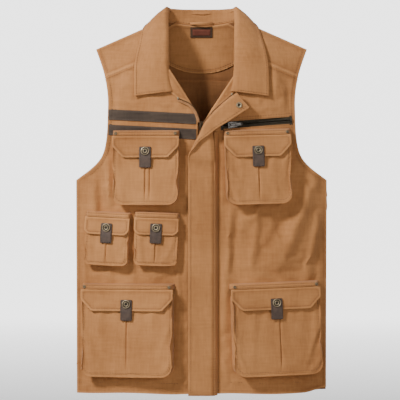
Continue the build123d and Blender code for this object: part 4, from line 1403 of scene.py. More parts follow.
    def facing(self) -> None:
        """Make the half-moon facing with its stitched curve."""
        form, lines = self.shop.form, self.shop.lines
        half = lines.neck_half - 4
        side_z, low = form.below(69), form.below(self.half_moon_drop)
        top = [(x, lines.neck_seam(x) - 1.5 - 14 * smooth(abs(x), 50, 76)) for x in np.linspace(half, -half, 24)]
        bottom = [(x, low + (side_z - low) * (abs(x) / half) ** 2.2) for x in np.linspace(4 - half, half - 4, 28)]
        place = lambda x, z, lift: form.place(Face.BACK, x, z, -form.cloth - 0.9 - lift)
        piece, _, _ = self.shop.sheet("cloth_neck_facing", Pattern(top + bottom, 6.0), place, flip=False, relief=0.5)
        thicken(piece, 1.0)
        self.shop.mount(piece, CANVAS, "vest", "facing", "neck_facing")
        for rise in (3.0, 7.5):
            line = [form.place(Face.BACK, x, z + rise, -form.cloth - 1.7) for x, z in bottom[1:-1]]
            self.shop.sewing.add("vest", line)

    def label(self) -> None:
        """Make the plain sewn label: a dark frame and a dull red middle with no mark on it."""
        form = self.shop.form
        high = form.length + self.seam_rise - 3
        half = self.label_width / 2
        for name, finish, inset, out in (("label_frame", LABEL, 0.0, 2.4), ("label_middle", LABEL_FACE, 4.5, 2.9)):
            low = high - self.label_height + inset
            side, top = half - inset, high - inset
            outline = [(side, top), (-side, top), (-side, low), (side, low)]
            place = lambda x, z, lift: form.place(Face.BACK, x, z, -form.cloth - out)
            piece, _, _ = self.shop.sheet(name, Pattern(outline, 4.0, rings=()), place, relief=0.0)
            thicken(piece, 0.5)
            nodes = ("neck_label",) if inset == 0 else ()
            self.shop.mount(piece, finish, "vest", "label", *nodes)

    def loop(self) -> None:
        """Make the hanger loop: a folded tape that bows forward from the neck seam."""
        form = self.shop.form
        low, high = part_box("hanger_loop")
        half = (high[0] - low[0]) / 2 / MM
        bow = (high[1] - low[1]) / MM
        _, seam, z_low = form.layout(Vector((0, high[1], low[2])))
        z_high = form.layout(Vector(high))[2]
        rows = []
        for k in range(5):
            z = z_low + (z_high - z_low) * k / 4
            row = []
            for i in range(25):
                s = 2 * i / 24 - 1
                row.append(form.world(half * s, seam - bow * (1 - s * s) + 0.3 * math.cos(math.pi * k / 2), z))
            rows.append(row)
        piece = grid_object("cloth_hanger_loop", rows)
        thicken(piece, 1.1, outward=True)
        self.shop.mount(piece, FACING, "vest", "facing", "hanger_loop")

    def build(self) -> None:
        """Make everything at the neck."""
        self.stand()
        self.collar()
        self.facing()
        self.label()
        self.loop()


@dataclass
class Lapels:
    """The front facings that the open V turns outward."""

    shop: Workshop
    lift: float = 2.6

    def outline(self, hand: Hand) -> Line:
        """Return the turned-out facing between the roll line and the zip."""
        lines, below = self.shop.lines, self.shop.form.below
        side = hand.value
        edge = lines.zip_edge(hand)[2:]
        roll = lines.roll(hand)[1:]
        roll = [(x, z) for x, z in roll if z < below(60)] + [(side * 71, below(58))]
        corner = [(side * 72, below(118)), (side * 66, below(130)), (edge[-1][0] + side * 3, edge[-1][1] + 3)]
        return roll + corner + edge[::-1]

    def build(self) -> None:
        """Make both turned-out facings, rounded over the roll line."""
        parts = []
        for hand in Hand:
            roll = densify(self.shop.lines.roll(hand), 3)
            pattern = Pattern(self.outline(hand), 4.0, rings=(1.5, 3.0, 5.0))

            def place(x: float, z: float, lift: float) -> Vector:
                near = edge_distance(np.array([(x, z)]), roll, closed=False)[0]
                return self.shop.form.place(Face.FRONT, x, z, self.lift * math.sqrt(smooth(near, -1.5, 6)) + lift)

            piece, _, _ = self.shop.sheet(f"lapel_{hand.name.lower()}", pattern, place, relief=0.4)
            thicken(piece, 1.2)
            parts.append(dress(piece, self.shop.wardrobe[FACING]))
            edge = self.shop.lines.zip_edge(hand)
            inner = beside(edge, -hand.value * 5.0)[3:-1]
            self.shop.stitch(inner, lift=self.lift + 0.5)
        self.shop.assemble("cloth_front_facings", parts, FACING, "facing", "front_facings")


@dataclass
class StormFlap:
    """The flap over the zip: flat below, with its top rolled out towards the left chest."""

    shop: Workshop
    width: float = 54.0
    sewn: float = 27.5
    turn_from: float = 450.0
    thick: float = 2.4
    clear: float = 5.2
    seam_stitch: float = 2.6
    edge_stitch: float = 5.0
    flat_size: tuple[float, float] = (56.0, 650.0)
    cut_size: tuple[float, float] = (54.0, 640.0)

    def rows(self) -> list[tuple[Point, Point, Point]]:
        """Return sewn edge, fold and free edge of the flap, from the hem up."""
        below = self.shop.form.below
        flat = [((self.sewn, z), (self.sewn - self.width, z), (self.sewn - self.width - 0.1, z))
                for z in np.linspace(-2.5, self.turn_from, 46)]
        turned = [
            ((27, below(268)), (-26.5, below(264)), (-26, below(262))),
            ((26, below(250)), (-20, below(247)), (-15, below(246))),
            ((25, below(232)), (-12, below(231)), (-2, below(230))),
            ((23, below(215)), (-4, below(216)), (14, below(219))),
            ((22, below(200)), (3, below(200)), (30, below(206))),
            ((27, below(186)), (14, below(184)), (53, below(192))),
            ((39, below(170)), (31, below(166)), (73, below(179))),
            ((55, below(153)), (51, below(148)), (87, below(170))),
            ((72, below(139)), (70, below(134)), (96, below(164))),
        ]
        keys = [[*a, *b, *c] for a, b, c in turned]
        keys = [[*flat[-1][0], *flat[-1][1], *flat[-1][2]]] + keys
        soft = curve_through(keys, 6)[1:]
        return flat + [((k[0], k[1]), (k[2], k[3]), (k[4], k[5])) for k in soft]

    def section(self, start: Point, fold: Point, free: Point, turned: float) -> list[Vector]:
        """Return one cross-row of the flap as places.

        Args:
            start: Sewn edge.
            fold: Where the flap turns over.
            free: Free edge.
            turned: 0 where the flap lies flat, 1 where it is rolled out.

        Returns:
            The row's places.
        """
        count = 22
        low = 6.2 + self.thick
        s, f, e = (np.array(p, float) for p in (start, fold, free))
        under, over = float(np.linalg.norm(f - s)), float(np.linalg.norm(e - f))
        total = under + over
        plan, lifts = [], []
        for i in range(count):
            q = total * i / (count - 1)
            p = s + (f - s) * q / under if q < under else f + (e - f) * (q - under) / max(over, 1e-6)
            plan.append(p)
            lifts.append(low + self.clear * turned - 3.5 * (1 - smooth(q, 0, 9))
                         + (8.5 - self.clear) * turned * smooth(q, under - 5, under + 5))
        if turned > 0:
            for _ in range(2):
                inner = [(plan[i - 1] + plan[i] * 2 + plan[i + 1]) / 4 for i in range(1, count - 1)]
                plan = [plan[0], *inner, plan[-1]]
        return [self.shop.form.place(Face.FRONT, float(p[0]), float(p[1]), lift) for p, lift in zip(plan, lifts)]

    def build(self) -> None:
        """Make the flap, its sewn edge, snaps and stitching."""
        form, shop = self.shop.form, self.shop
        rows = self.rows()
        grid = []
        for a, b, c in rows:
            turned = smooth(a[1], self.turn_from, self.turn_from + 25)
            grid.append(self.section(a, b, c, turned))
        piece = grid_object("cloth_storm_flap", [list(r) for r in grid])
        if sum(f.normal.y * f.area for f in piece.data.polygons[: 21 * 40]) > 0:
            piece.data.flip_normals()
        thicken(piece, self.thick)
        dress(piece, shop.wardrobe[CANVAS])
        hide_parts("storm_flap", "storm_flap_turned_top")
        lower = form.place(Face.FRONT, 0, self.turn_from - 22, 8)
        upper = form.place(Face.FRONT, 0, self.turn_from + 18, 8)
        tuple(lower)
        tuple(upper)
        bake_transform(piece)
        cut_wide, cut_long = self.cut_size
        declare_sheet(piece, cut_wide * cut_long * MM * MM, *self.flat_size, "hung", ["storm_flap_seam"])
        self.seam()
        self.snaps()
        for x in (self.sewn - self.seam_stitch, self.sewn - self.width + self.edge_stitch):
            shop.sewing.add("storm_flap_body", [
                form.place(Face.FRONT, x, z, 9.1) for z in np.linspace(4, self.turn_from - 24, 60)])
        self.turned_stitches(grid, rows)

    def snaps(self) -> None:
        """Make the studs under the flap and the bare socket on its rolled-out corner."""
        form = self.shop.form
        axes = UPRIGHT
        parts = [lathe("stud", form.place(Face.FRONT, -14.0, z, 0.2), axes, STUD_FORM, 24)
                 for z in (16.0, 158.0, 300.0, 442.0)]
        corner = form.place(Face.FRONT, 75.0, form.below(159), 20.6)
        parts.append(lathe("socket", corner, axes, SOCKET_RING))
        for part in parts:
            dress(part, self.shop.wardrobe[BRASS])
        self.shop.assemble("brass_storm_flap_fixed_snaps", parts, BRASS, "antique_brass", "storm_flap_fixed_snaps", 35)
        hole = lathe("storm_flap_socket_well", corner, axes, [(0.0, -0.9), (2.6, -0.9), (2.6, 0.15), (0.0, 0.1)], 20)
        self.shop.mount(hole, DARK_METAL, "vest", "antique_brass")

    def turned_stitches(self, grid: list[list[Vector]], rows: list[tuple[Point, Point, Point]]) -> None:
        """Stitch round the rolled-out end on its inner side."""
        start = next(i for i, r in enumerate(rows) if r[0][1] > self.turn_from + 40)
        above = Vector((0, -(self.thick + 0.4) * MM, 0))
        edge = [row[-4] + above for row in grid[start:-3]]
        end = [p + above for p in grid[-6][9:-3]]
        self.shop.sewing.add("vest", edge)
        self.shop.sewing.add("vest", end)

    def seam(self) -> None:
        """Make the sewn edge beside the flap as a soft ridge down to the cloth."""
        form = self.shop.form
        rows = []
        top = form.below(211)
        for z in np.linspace(-1.5, top, 90):
            row = []
            for i in range(9):
                t = i / 8
                x = self.sewn - 2.2 + 7.0 * t
                lift = 7.6 * (1 - t**2.2) + 0.8 + 0.35 * math.sin(z / 5.1) * t
                row.append(form.place(Face.FRONT, x, z, lift * (1 - 0.5 * smooth(z, top - 30, top))))
            rows.append(row)
        piece = grid_object("cloth_storm_flap_seam", rows)
        face_toward(piece, AHEAD)
        thicken(piece, 1.6)
        self.shop.mount(piece, CANVAS, "vest", "canvas", "storm_flap_seam")
        seam_run = np.linspace(4, top - 30, 60)
        self.shop.sewing.add("vest", [form.place(Face.FRONT, self.sewn + 1.0, z, 7.6) for z in seam_run])
        self.shop.stitch([(self.sewn + 6.5, z) for z in np.linspace(4, top - 6, 60)], lift=0.6)


def lathe(name: str, centre: Vector, axes: Matrix, profile: Sequence[Point], parts: int = 40) -> bpy.types.Object:
    """Return a turned piece.

    Args:
        name: The object's name.
        centre: Foot of its axis in the frame.
        axes: Its directions; the third is the axis.
        profile: Radius and height pairs in millimetres.
        parts: Divisions round the axis.

    Returns:
        The object.
    """
    rows = []
    for radius, height in profile:
        row = []
        for k in range(parts):
            angle = 2 * math.pi * k / parts
            local = Vector((max(radius, 0.01) * math.cos(angle), max(radius, 0.01) * math.sin(angle), height))
            row.append(centre + axes @ (local * MM))
        rows.append(row)
    piece = grid_object(name, rows, closed=True)
    recalculated(piece, 5e-5)
    shade(piece, 35)
    return piece


SNAP_RING = [(2.5, -1.6), (7.9, -1.6), (8.4, -1.0), (8.4, -0.2), (8.0, 0.6), (7.2, 0.9), (6.6, 0.5), (6.5, -0.5),
             (4.6, -0.5), (4.5, 0.5), (4.0, 0.8), (3.4, 0.7), (2.8, 0.2), (2.6, -0.8), (2.5, -1.6)]
SOCKET_RING = [(2.4, -1.2), (5.6, -1.2), (6.0, -0.6), (5.9, 0.1), (5.2, 0.9), (4.2, 1.1), (3.2, 0.8), (2.5, 0.0),
               (2.4, -1.2)]
DARK_WELL = [(0.0, -1.4), (6.4, -1.4), (6.4, -0.3), (4.7, -0.3), (2.5, -0.6), (0.0, -0.7)]
STUD_FORM = [(0.0, 0.0), (5.0, 0.0), (5.0, 0.7), (2.4, 1.0), (2.1, 3.6), (1.6, 4.4), (0.0, 4.6)]


@dataclass
class Webbing:
    """The two webbing bands on the right chest."""

    shop: Workshop
    height: float = 21.0
    gap: float = 9.5
    slope: float = -0.054
    drop: float = 166.0

    def build(self) -> None:
        """Make both bands and their edge stitching."""
        form, lines = self.shop.form, self.shop.lines
        for name, drop in (("webbing_upper", self.drop), ("webbing_lower", self.drop + self.height + self.gap)):
            high = form.below(drop)
            start = 1 - (form.half_width - lines.armhole_in)
            xs = np.linspace(start, -10.5, 40)
            centre = lambda x: high + self.slope * (x - start)
            outline = [(x, centre(x) - self.height) for x in xs] + [(x, centre(x)) for x in reversed(xs)]
            place = lambda x, z, lift: form.place(Face.FRONT, x, z, 1.5)
            piece, _, _ = self.shop.sheet(f"band_{name}", Pattern(outline, 5.0, rings=(1.2,)), place, relief=0.0)
            self.shop.finish(piece, 1.3, WEBBING, "vest", "webbing", name)
            for inset in (1.8, self.height - 1.8):
                line = [form.place(Face.FRONT, x, centre(x) - inset, 1.7) for x in xs[1:-1]]
                self.shop.sewing.add("vest", line, DARK_THREAD)
            LOG.info("%s: %d faces", piece.name, len(piece.data.polygons))


@dataclass
class ZipChain:
    """Teeth on two facing tape edges, made from two lines of places."""

    shop: Workshop
    name: str
    finish: HardFinish

    def build(self, lines: Sequence[Sequence[Vector]], slot: str, *nodes: str) -> None:
        """Set teeth along the lines and mount them."""
        piece = TOOTH.run(f"metal_{self.name}_teeth", lines, self.shop.wardrobe[self.finish])
        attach(piece, "vest")
        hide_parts(*nodes)
        LOG.info("%s: %d faces", piece.name, len(piece.data.polygons))


def block(name: str, centre: Vector, axes: Matrix, size: tuple[float, float, float], soft: float,
          taper: float = 1.0) -> bpy.types.Object:
    """Return a rounded block.

    Args:
        name: The object's name.
        centre: Its centre in the frame.
        axes: Its directions as a 3x3 matrix's columns.
        size: Full sizes in millimetres.
        soft: Radius of the rounded edges in millimetres.
        taper: Width of the +y end as a share of the -y end's.

    Returns:
        The object, with its place in its mesh.
    """
    work = bmesh.new()
    bmesh.ops.create_cube(work, size=1.0)
    for vert in work.verts:
        wide = taper if vert.co.y > 0 else 1.0
        local = Vector((vert.co.x * size[0] * wide, vert.co.y * size[1], vert.co.z * size[2])) * MM
        vert.co = centre + axes @ local
    edges = list(work.edges)
    bmesh.ops.bevel(work, geom=edges, offset=soft * MM, segments=3, profile=0.6, affect="EDGES")
    mesh = bpy.data.meshes.new(name)
    work.to_mesh(mesh)
    work.free()
    thing = bpy.data.objects.new(name, mesh)
    bpy.context.scene.collection.objects.link(thing)
    shade(thing, 40)
    return thing


def ring(name: str, centre: Vector, axes: Matrix, path: Sequence[Point], thick: float) -> bpy.types.Object:
    """Return a closed wire bent along a flat path in the x-y plane of axes."""
    rows = []
    count = len(path)
    for i, (x, y) in enumerate(path):
        ax, ay = path[i - 1]
        bx, by = path[(i + 1) % count]
        along = Vector((bx - ax, by - ay, 0)).normalized()
        across = Vector((-along.y, along.x, 0))
        row = []
        for k in range(8):
            angle = 2 * math.pi * k / 8
            local = Vector((x, y, 0)) + (across * math.cos(angle) + Vector((0, 0, 1)) * math.sin(angle)) * thick / 2
            row.append(centre + axes @ (local * MM))
        rows.append(row)
    rows.append(rows[0])
    piece = grid_object(name, rows, closed=True)
    recalculated(piece)
    shade(piece, 80)
    return piece


@dataclass
class Slider:
    """A zip slider with its bridge, and the pull that swings on it."""

    shop: Workshop
    prefix: str
    finish: HardFinish
    slot: str

    def axes(self) -> tuple[Matrix, Vector]:
        """Return the pull's directions and the pin's place from the frame's joint."""
        joints = {joint["name"]: joint for joint in FRAME["joints"]}
        swing = joints[f"{self.prefix}_pull_swing"]
        run = joints[f"{self.prefix}_run"]
        pin = Vector(swing["pos_m"])
        across = Vector(swing["axis"]).normalized()
        low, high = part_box(f"{self.prefix}_pull")
        centre = (Vector(low) + Vector(high)) / 2
        tongue = Vector(run["axis"]).normalized()
        if tongue.dot(centre - pin) < 0:
            tongue = -tongue
        out = across.cross(tongue).normalized()
        return Matrix((across, tongue, out)).transposed(), pin

    def build(self) -> None:
        """Make the slider body and the pull."""
        axes, pin = self.axes()
        at = lambda x, y, z: pin + axes @ (Vector((x, y, z)) * MM)
        parts = [
            block("slider_top", at(0, 4.0, -2.9), axes, (12.2, 17.5, 1.4), 0.6, 0.72),
            block("slider_under", at(0, 4.0, -6.8), axes, (12.2, 17.5, 1.2), 0.5, 0.72),
            block("slider_post", at(0, 4.0, -4.9), axes, (0.7, 5.0, 3.4), 0.1),
            block("slider_keeper_a", at(-3.8, 0.0, -0.9), axes, (1.2, 4.2, 3.6), 0.4),
            block("slider_keeper_b", at(3.8, 0.0, -0.9), axes, (1.2, 4.2, 3.6), 0.4),
            block("slider_pin", at(0, 0.0, 0.0), axes, (8.2, 1.4, 1.4), 0.45),
        ]
        for part in parts:
            dress(part, self.shop.wardrobe[self.finish])
        body = join(f"metal_{self.prefix}_slider", parts)
        shade(body, 40)
        self.shop.mount(body, self.finish, f"{self.prefix}_slider_body", self.slot, f"{self.prefix}_slider")
        outline = [(2.6 * math.cos(a), 20.5 + 2.6 * math.sin(a)) for a in np.linspace(0, math.pi, 9)]
        outline += [(-2.4, 8.0), (-2.3, -1.2), (2.3, -1.2), (2.4, 8.0)]
        wire = ring("pull_wire", at(0, 0, 0.2), axes, outline, 1.3)
        plate = block("pull_plate", at(0, 15.5, 0.2), axes, (4.4, 9.5, 1.2), 0.4)
        parts = [dress(p, self.shop.wardrobe[self.finish]) for p in (wire, plate)]
        pull = join(f"metal_{self.prefix}_pull", parts)
        shade(pull, 50)
        self.shop.mount(pull, self.finish, f"{self.prefix}_pull_body", self.slot, f"{self.prefix}_pull")


@dataclass
class FrontZip:
    """The long zip: tapes, teeth, stops, slider and pull."""

    shop: Workshop
    low: float = 10.0
    tape: float = 17.0

    def build(self) -> None:
        """Make the zip closed up to the slider and open along the V."""
        form, lines = self.shop.form, self.shop.lines
        top = form.below(lines.v_drop)
        parts, teeth = [], []
        for hand in Hand:
            side = hand.value
            outline = [(side * 2.6, self.low), (side * self.tape, self.low), (side * self.tape, top),
                       (side * 2.6, top)]
            place = lambda x, z, lift: form.world(x, -form.stand_off(x, z) + 0.1, z)
            piece, _, _ = self.shop.sheet(f"tape_{hand.name}", Pattern(outline, 5.0, rings=()), place, relief=0.0)
            thicken(piece, 0.7)
            parts.append(dress(piece, self.shop.wardrobe[TAN_TAPE]))
            edge = lines.zip_edge(hand)
            band = beside(edge, side * 0.5) + beside(edge, -side * 6.0)[::-1]
            place = lambda x, z, lift: form.place(Face.FRONT, x, z, 3.6)
            piece, _, _ = self.shop.sheet(f"tape_open_{hand.name}", Pattern(band, 4.0, rings=()), place, relief=0.0)
            thicken(piece, 0.7)
            parts.append(dress(piece, self.shop.wardrobe[TAN_TAPE]))
            run = np.linspace(self.low, top, 60)
            teeth.append([form.world(side * 1.95, -form.stand_off(0, z) - 0.1, z) for z in run])
            teeth.append([form.place(Face.FRONT, x, z, 4.0) for x, z in edge])
        self.shop.assemble("cloth_front_zip_tapes", parts, TAN_TAPE, "tan_tape", "front_zip_tapes")
        ZipChain(self.shop, "front_zip", BRASS_TOOTH).build(teeth, "zip_brass", "front_zip_teeth")
        straight = UPRIGHT
        box_at = form.world(0, -form.stand_off(0, 5) + 0.4, self.low - 4.4)
        stops = [block("stop_box", box_at, straight, (7.6, 7.6, 3.2), 0.7)]
        for hand in Hand:
            x, z = lines.zip_edge(hand)[-1]
            stops.append(block("stop", form.place(Face.FRONT, x, z, 4.2), straight, (3.2, 5.0, 2.6), 0.9))
        for stop in stops:
            dress(stop, self.shop.wardrobe[BRASS])
        self.shop.assemble("metal_front_zip_stops", stops, BRASS, "zip_brass", "front_zip_stops", 40)
        Slider(self.shop, "front_zip", BRASS_TOOTH, "zip_brass").build()


@dataclass
class ChestZip:
    """The slanted zip on the left chest and the bag behind it."""

    shop: Workshop
    inset: float = 42.0
    length: float = 136.4
    slope: float = 0.081
    half: float = 7.0
    bag_drop: float = 312.0

    def centre(self, t: float) -> Point:
        """Return the zip's centre line at a share of its length."""
        x = self.inset + t * (self.length - 0.4)
        return x, self.shop.form.below(199) + self.slope * (x - self.inset)

    def slot_outline(self) -> Line:
        """Return the slot in the left front."""
        low, high = [], []
        for t in np.linspace(-0.024, 1.024, 20):
            x, z = self.centre(t)
            low.append((x, z - self.half - 0.2))
            high.append((x, z + self.half + 0.2))
        return low + high[::-1]

    def at(self, t: float, across: float, lift: float) -> Vector:
        """Return a place on the zip's flat strip between its two ends."""
        form = self.shop.form
        a = form.place(Face.FRONT, *self.centre(0.0), -form.cloth / 2)
        b = form.place(Face.FRONT, *self.centre(1.0), -form.cloth / 2)
        middle = form.place(Face.FRONT, *self.centre(0.5), -form.cloth / 2)
        along = (b - a).normalized()
        out = along.cross(UP).normalized()
        swell = (middle - a).dot(out)
        up = out.cross(along)
        return a + (b - a) * t + up * across * MM + out * (swell * 0.5 + lift * MM)

    def build(self) -> None:
        """Make tapes, teeth, stops, slider, pull and bag."""
        form = self.shop.form
        parts, teeth = [], []
        for side in (-1, 1):
            rows = [[self.at(t, side * w, -0.6) for t in np.linspace(-0.03, 1.03, 40)]
                    for w in np.linspace(0.9, self.half + 2.5, 5)]
            if side < 0:
                rows = rows[::-1]
            piece = grid_object(f"tape_{side}", rows)
            face_toward(piece, AHEAD)
            thicken(piece, 0.8)
            parts.append(dress(piece, self.shop.wardrobe[DARK_TAPE]))
            teeth.append([self.at(t, side * 1.95, 0.1) for t in np.linspace(0, 1, 40)])
        self.shop.assemble("cloth_chest_zip_tapes", parts, DARK_TAPE, "dark_tape", "chest_zip_tapes")
        ZipChain(self.shop, "chest_zip", DARK_TOOTH).build(teeth, "dark_zip", "chest_zip_teeth")
        a, b = self.at(0, 0, 0), self.at(1, 0, 0)
        along = (b - a).normalized()
        out = along.cross(UP).normalized()
        axes = Matrix((out.cross(along), along, out)).transposed()
        stops = [block("stop", self.at(t, 0, 0.4), axes, (6.0, 2.6, 2.4), 0.6) for t in (-0.011, 1.011)]
        for stop in stops:
            dress(stop, self.shop.wardrobe[DARK_TOOTH])
        self.shop.assemble("metal_chest_zip_stops", stops, DARK_TOOTH, "dark_zip", "chest_zip_stops", 40)
        Slider(self.shop, "chest_zip", GREY_METAL, "zip_slider").build()
        low, right = form.below(self.bag_drop), self.inset + self.length
        outline = [(self.inset, low), (right, low), (right, form.below(176)), (self.inset, form.below(180))]
        place = lambda x, z, lift: form.place(Face.FRONT, x, z, -form.cloth - 7.0 - form.folds(Face.FRONT, x, z))
        piece, _, _ = self.shop.sheet("cloth_chest_zip_bag", Pattern(outline, 8.0, rings=()), place, relief=0.0)
        self.shop.finish(piece, 2.0, DARK_TAPE, "vest", "dark_tape", "chest_zip_bag")
        for off in (self.half + 2.0, self.half + 6.5):
            for side in (-1, 1):
                line = [(self.centre(t)[0], self.centre(t)[1] + side * off) for t in np.linspace(-0.02, 1.02, 24)]
                self.shop.stitch(line, lift=0.55)


class PocketSize(Enum):
    """The two pocket sizes: height, flap, snap drop, tab, bulge, corner and chamfer."""

    BIG = (43.5, 42.0, 13.0, 21.0, 22.0, 23.0)
    SMALL = (35.0, 40.0, 8.0, 11.0, 8.0, 8.0)


@dataclass
class Pocket:
    """One bellows pocket with its flap, leather tab and snap."""

    shop: Workshop
    name: str
    size: PocketSize
    height: float
    snap_drop: float
    pleats: tuple[float, ...] = ()
    heading: float = 10.0
    mouth: float = 7.0
    mouth_below: float = 12.0
    gap: float = 2.0
    flap_thick: float = 2.4
    tab_width: float = 24.0
    tab_up: float = 9.0
    bag_piece: bpy.types.Object | None = None
    flap_piece: bpy.types.Object | None = None

    def __post_init__(self) -> None:
        """Read the fold's place and direction from the frame."""
        joint = next(j for j in FRAME["joints"] if j["name"] == f"{self.name}_flap_fold")
        self.fold = Vector(joint["pos_m"])
        self.along = -Vector(joint["axis"]).normalized()
        low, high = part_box(f"{self.name}_flap")
        self.half = (high[0] - low[0]) / 2 / MM / max(self.along.x, 0.5)
        self.flap, self.tab, self.bulge, self.corner, self.cut_x, self.cut_y = self.size.value
        lean = math.atan2(self.bulge, self.height - self.heading)
        flat_out = self.along.cross(UP).normalized()
        flat_up = flat_out.cross(self.along)
        self.out = flat_out * math.cos(lean) + flat_up * math.sin(lean)
        self.up = self.out.cross(self.along)
        self.flat_out, self.flat_up = flat_out, flat_up
        self.zero = self.fold - self.out * (self.gap + self.flap_thick) * MM
        self.body = f"{self.name}_flap_body"

    def at(self, u: float, v: float, w: float) -> Vector:
        """Return a place in the bag's sloping frame: u along the fold, v up, w outward."""
        return self.zero + (self.along * u + self.up * v + self.out * w) * MM

    def ground(self, place: Vector) -> Vector:
        """Return the point of the body's cloth behind a place."""
        form = self.shop.form
        spot = place.copy()
        for _ in range(3):
            x, _, z = form.layout(spot)
            target = form.place(Face.FRONT, x, z)
            spot = spot + self.flat_out * ((target.y - spot.y) / self.flat_out.y)
        return spot

    def bag_outline(self) -> Line:
        """Return the bag's front from its left mouth corner round the bottom to the right one."""
        half = self.half - 1.5
        low = self.heading - self.height
        r = self.corner
        line = [(-half, -self.mouth_below)]
        line += [(-half + r - r * math.cos(a), low + r - r * math.sin(a)) for a in np.linspace(0, math.pi / 2, 8)]
        line += [(half - r + r * math.sin(a), low + r - r * math.cos(a)) for a in np.linspace(0, math.pi / 2, 8)]
        line += [(half, -self.mouth_below)]
        return line

    def footprint(self) -> Line:
        """Return the pocket's outline on the body in layout millimetres."""
        line = [(-self.half, self.heading), *self.bag_outline(), (self.half, self.heading)]
        return [(p[0], p[2]) for p in (self.shop.form.layout(self.at(u, v, 0)) for u, v in line)]

    def puff(self, u: float, v: float) -> float:
        """Return how far the bag's front swells at a point."""
        half = self.half - 1.5
        deep = self.height - self.heading - self.mouth_below
        down = min(max((-self.mouth_below - v) / deep, 0.0), 1.0)
        across = 1 - abs(u / half) ** 3
        swell = (0.6 + 3.4 * math.sin(math.pi * min(down * 0.95, 1.0)) ** 1.2) * across
        swell += 0.8 * math.sin(u / 17.0 + self.height) * down * across
        for pleat in self.pleats:
            near = u - pleat
            fade = 1 - smooth(down, 0.78, 0.97)
            swell -= 2.0 * math.exp(-((near / 1.1) ** 2)) * fade
            swell += 0.9 * math.exp(-(((near + 3.2) / 2.2) ** 2)) * fade
        return swell

    def cut(self) -> None:
        """Cut the bag and queue it for settling."""
        outline = self.bag_outline()
        low = self.heading - self.height
        creases = [[(pleat + off, -self.mouth_below), (pleat + off, low + 6)]
                   for pleat in self.pleats for off in (-3.2, -1.4, 0.0, 1.2, 2.6)]
        pattern = Pattern(outline, 4.5, rings=(1.5, 3.0, 5.0), creases=creases)
        flat, tris = pattern.divided()
        reach = edge_distance(flat, densify(outline, 4), closed=False)
        points = []
        for (u, v), d in zip(flat, reach):
            ridge = 0.9 * math.exp(-((d / 2.2) ** 2)) - 0.5 * math.exp(-(((d - 4.6) / 1.2) ** 2))
            points.append(self.at(u, v, self.puff(u, v) + ridge))
        faces = [tuple(t) for t in tris]
        self.flat, self.reach = flat, reach
        edge = densify(outline, 4.5)
        start = len(points)
        rows, layers = [], 5
        for u, v in edge:
            rim = self.at(u, v, self.puff(u, v) + 0.9)
            foot = self.ground(self.at(u, v, -20)) + self.flat_out * 0.2 * MM
            inward = self.along * (-u / self.half) + self.up * (1 if v < -self.height * 0.6 else 0)
            row = []
            for k in range(layers + 1):
                t = k / layers
                pinch = 2.6 * math.sin(math.pi * t) ** 1.5
                wall = rim.lerp(foot, t)
                row.append(wall + inward.normalized() * pinch * MM if inward.length > 1e-6 else wall)
            rows.append(row)
        for row in rows:
            points += row
        wide = layers + 1
        for i in range(len(rows) - 1):
            for k in range(layers):
                a = start + i * wide + k
                faces.append((a, a + 1, a + wide + 1, a + wide))
        piece = mesh_object(f"cloth_{self.name}_bag", points, faces)
        recalculated(piece, 2e-4)
        centre = self.at(0, -self.height / 2, -30)
        if sum(f.normal.dot(f.center - centre) * f.area for f in piece.data.polygons) < 0:
            piece.data.flip_normals()
        self.bag_piece = piece
        places = np.array([tuple(v.co) for v in piece.data.vertices])
        depth = (places - np.array(self.zero)) @ np.array(self.out) / MM
        height = (places - np.array(self.zero)) @ np.array(self.up) / MM
        base = np.array([(Vector(p) - self.ground(Vector(p))).length / MM for p in places])
        pins = np.where(base < 2.0, 1.0, 0.0)
        pins = np.maximum(pins, np.array([1 - smooth(-self.mouth_below - h, 0.5, 12) for h in height]) * 0.9)
        pins = np.maximum(pins, np.where(depth > -1.0, 0.0, 0.15))
        self.shop.tank.add(piece, np.round(pins, 2), grow=0.035, cap=4.0, gravity=0.5, stiff=10.0)

    def build_bag(self) -> None:
        """Finish the bag and sew it down."""
        outline = self.bag_outline()
        self.shop.finish(self.bag_piece, 1.3, CANVAS, "vest", "canvas", f"{self.name}_bag")
        inner = densify(beside(outline, 4.6), 4)
        self.shop.sewing.add("vest", [self.at(u, v, self.puff(u, v) + 0.9) for u, v in inner[3:-3]])

    def flap_lift(self, u: float, v: float) -> float:
        """Return the flap's waves above its flat plate."""
        drop = min(-v / self.flap, 1.0)
        edge = abs(u) / self.half
        calm = smooth(abs(u), 13, 26)
        curl = 1.8 * drop**2 * edge**2 * calm
        return curl + 0.7 * math.sin(u / 11.0 + self.height) * drop * calm

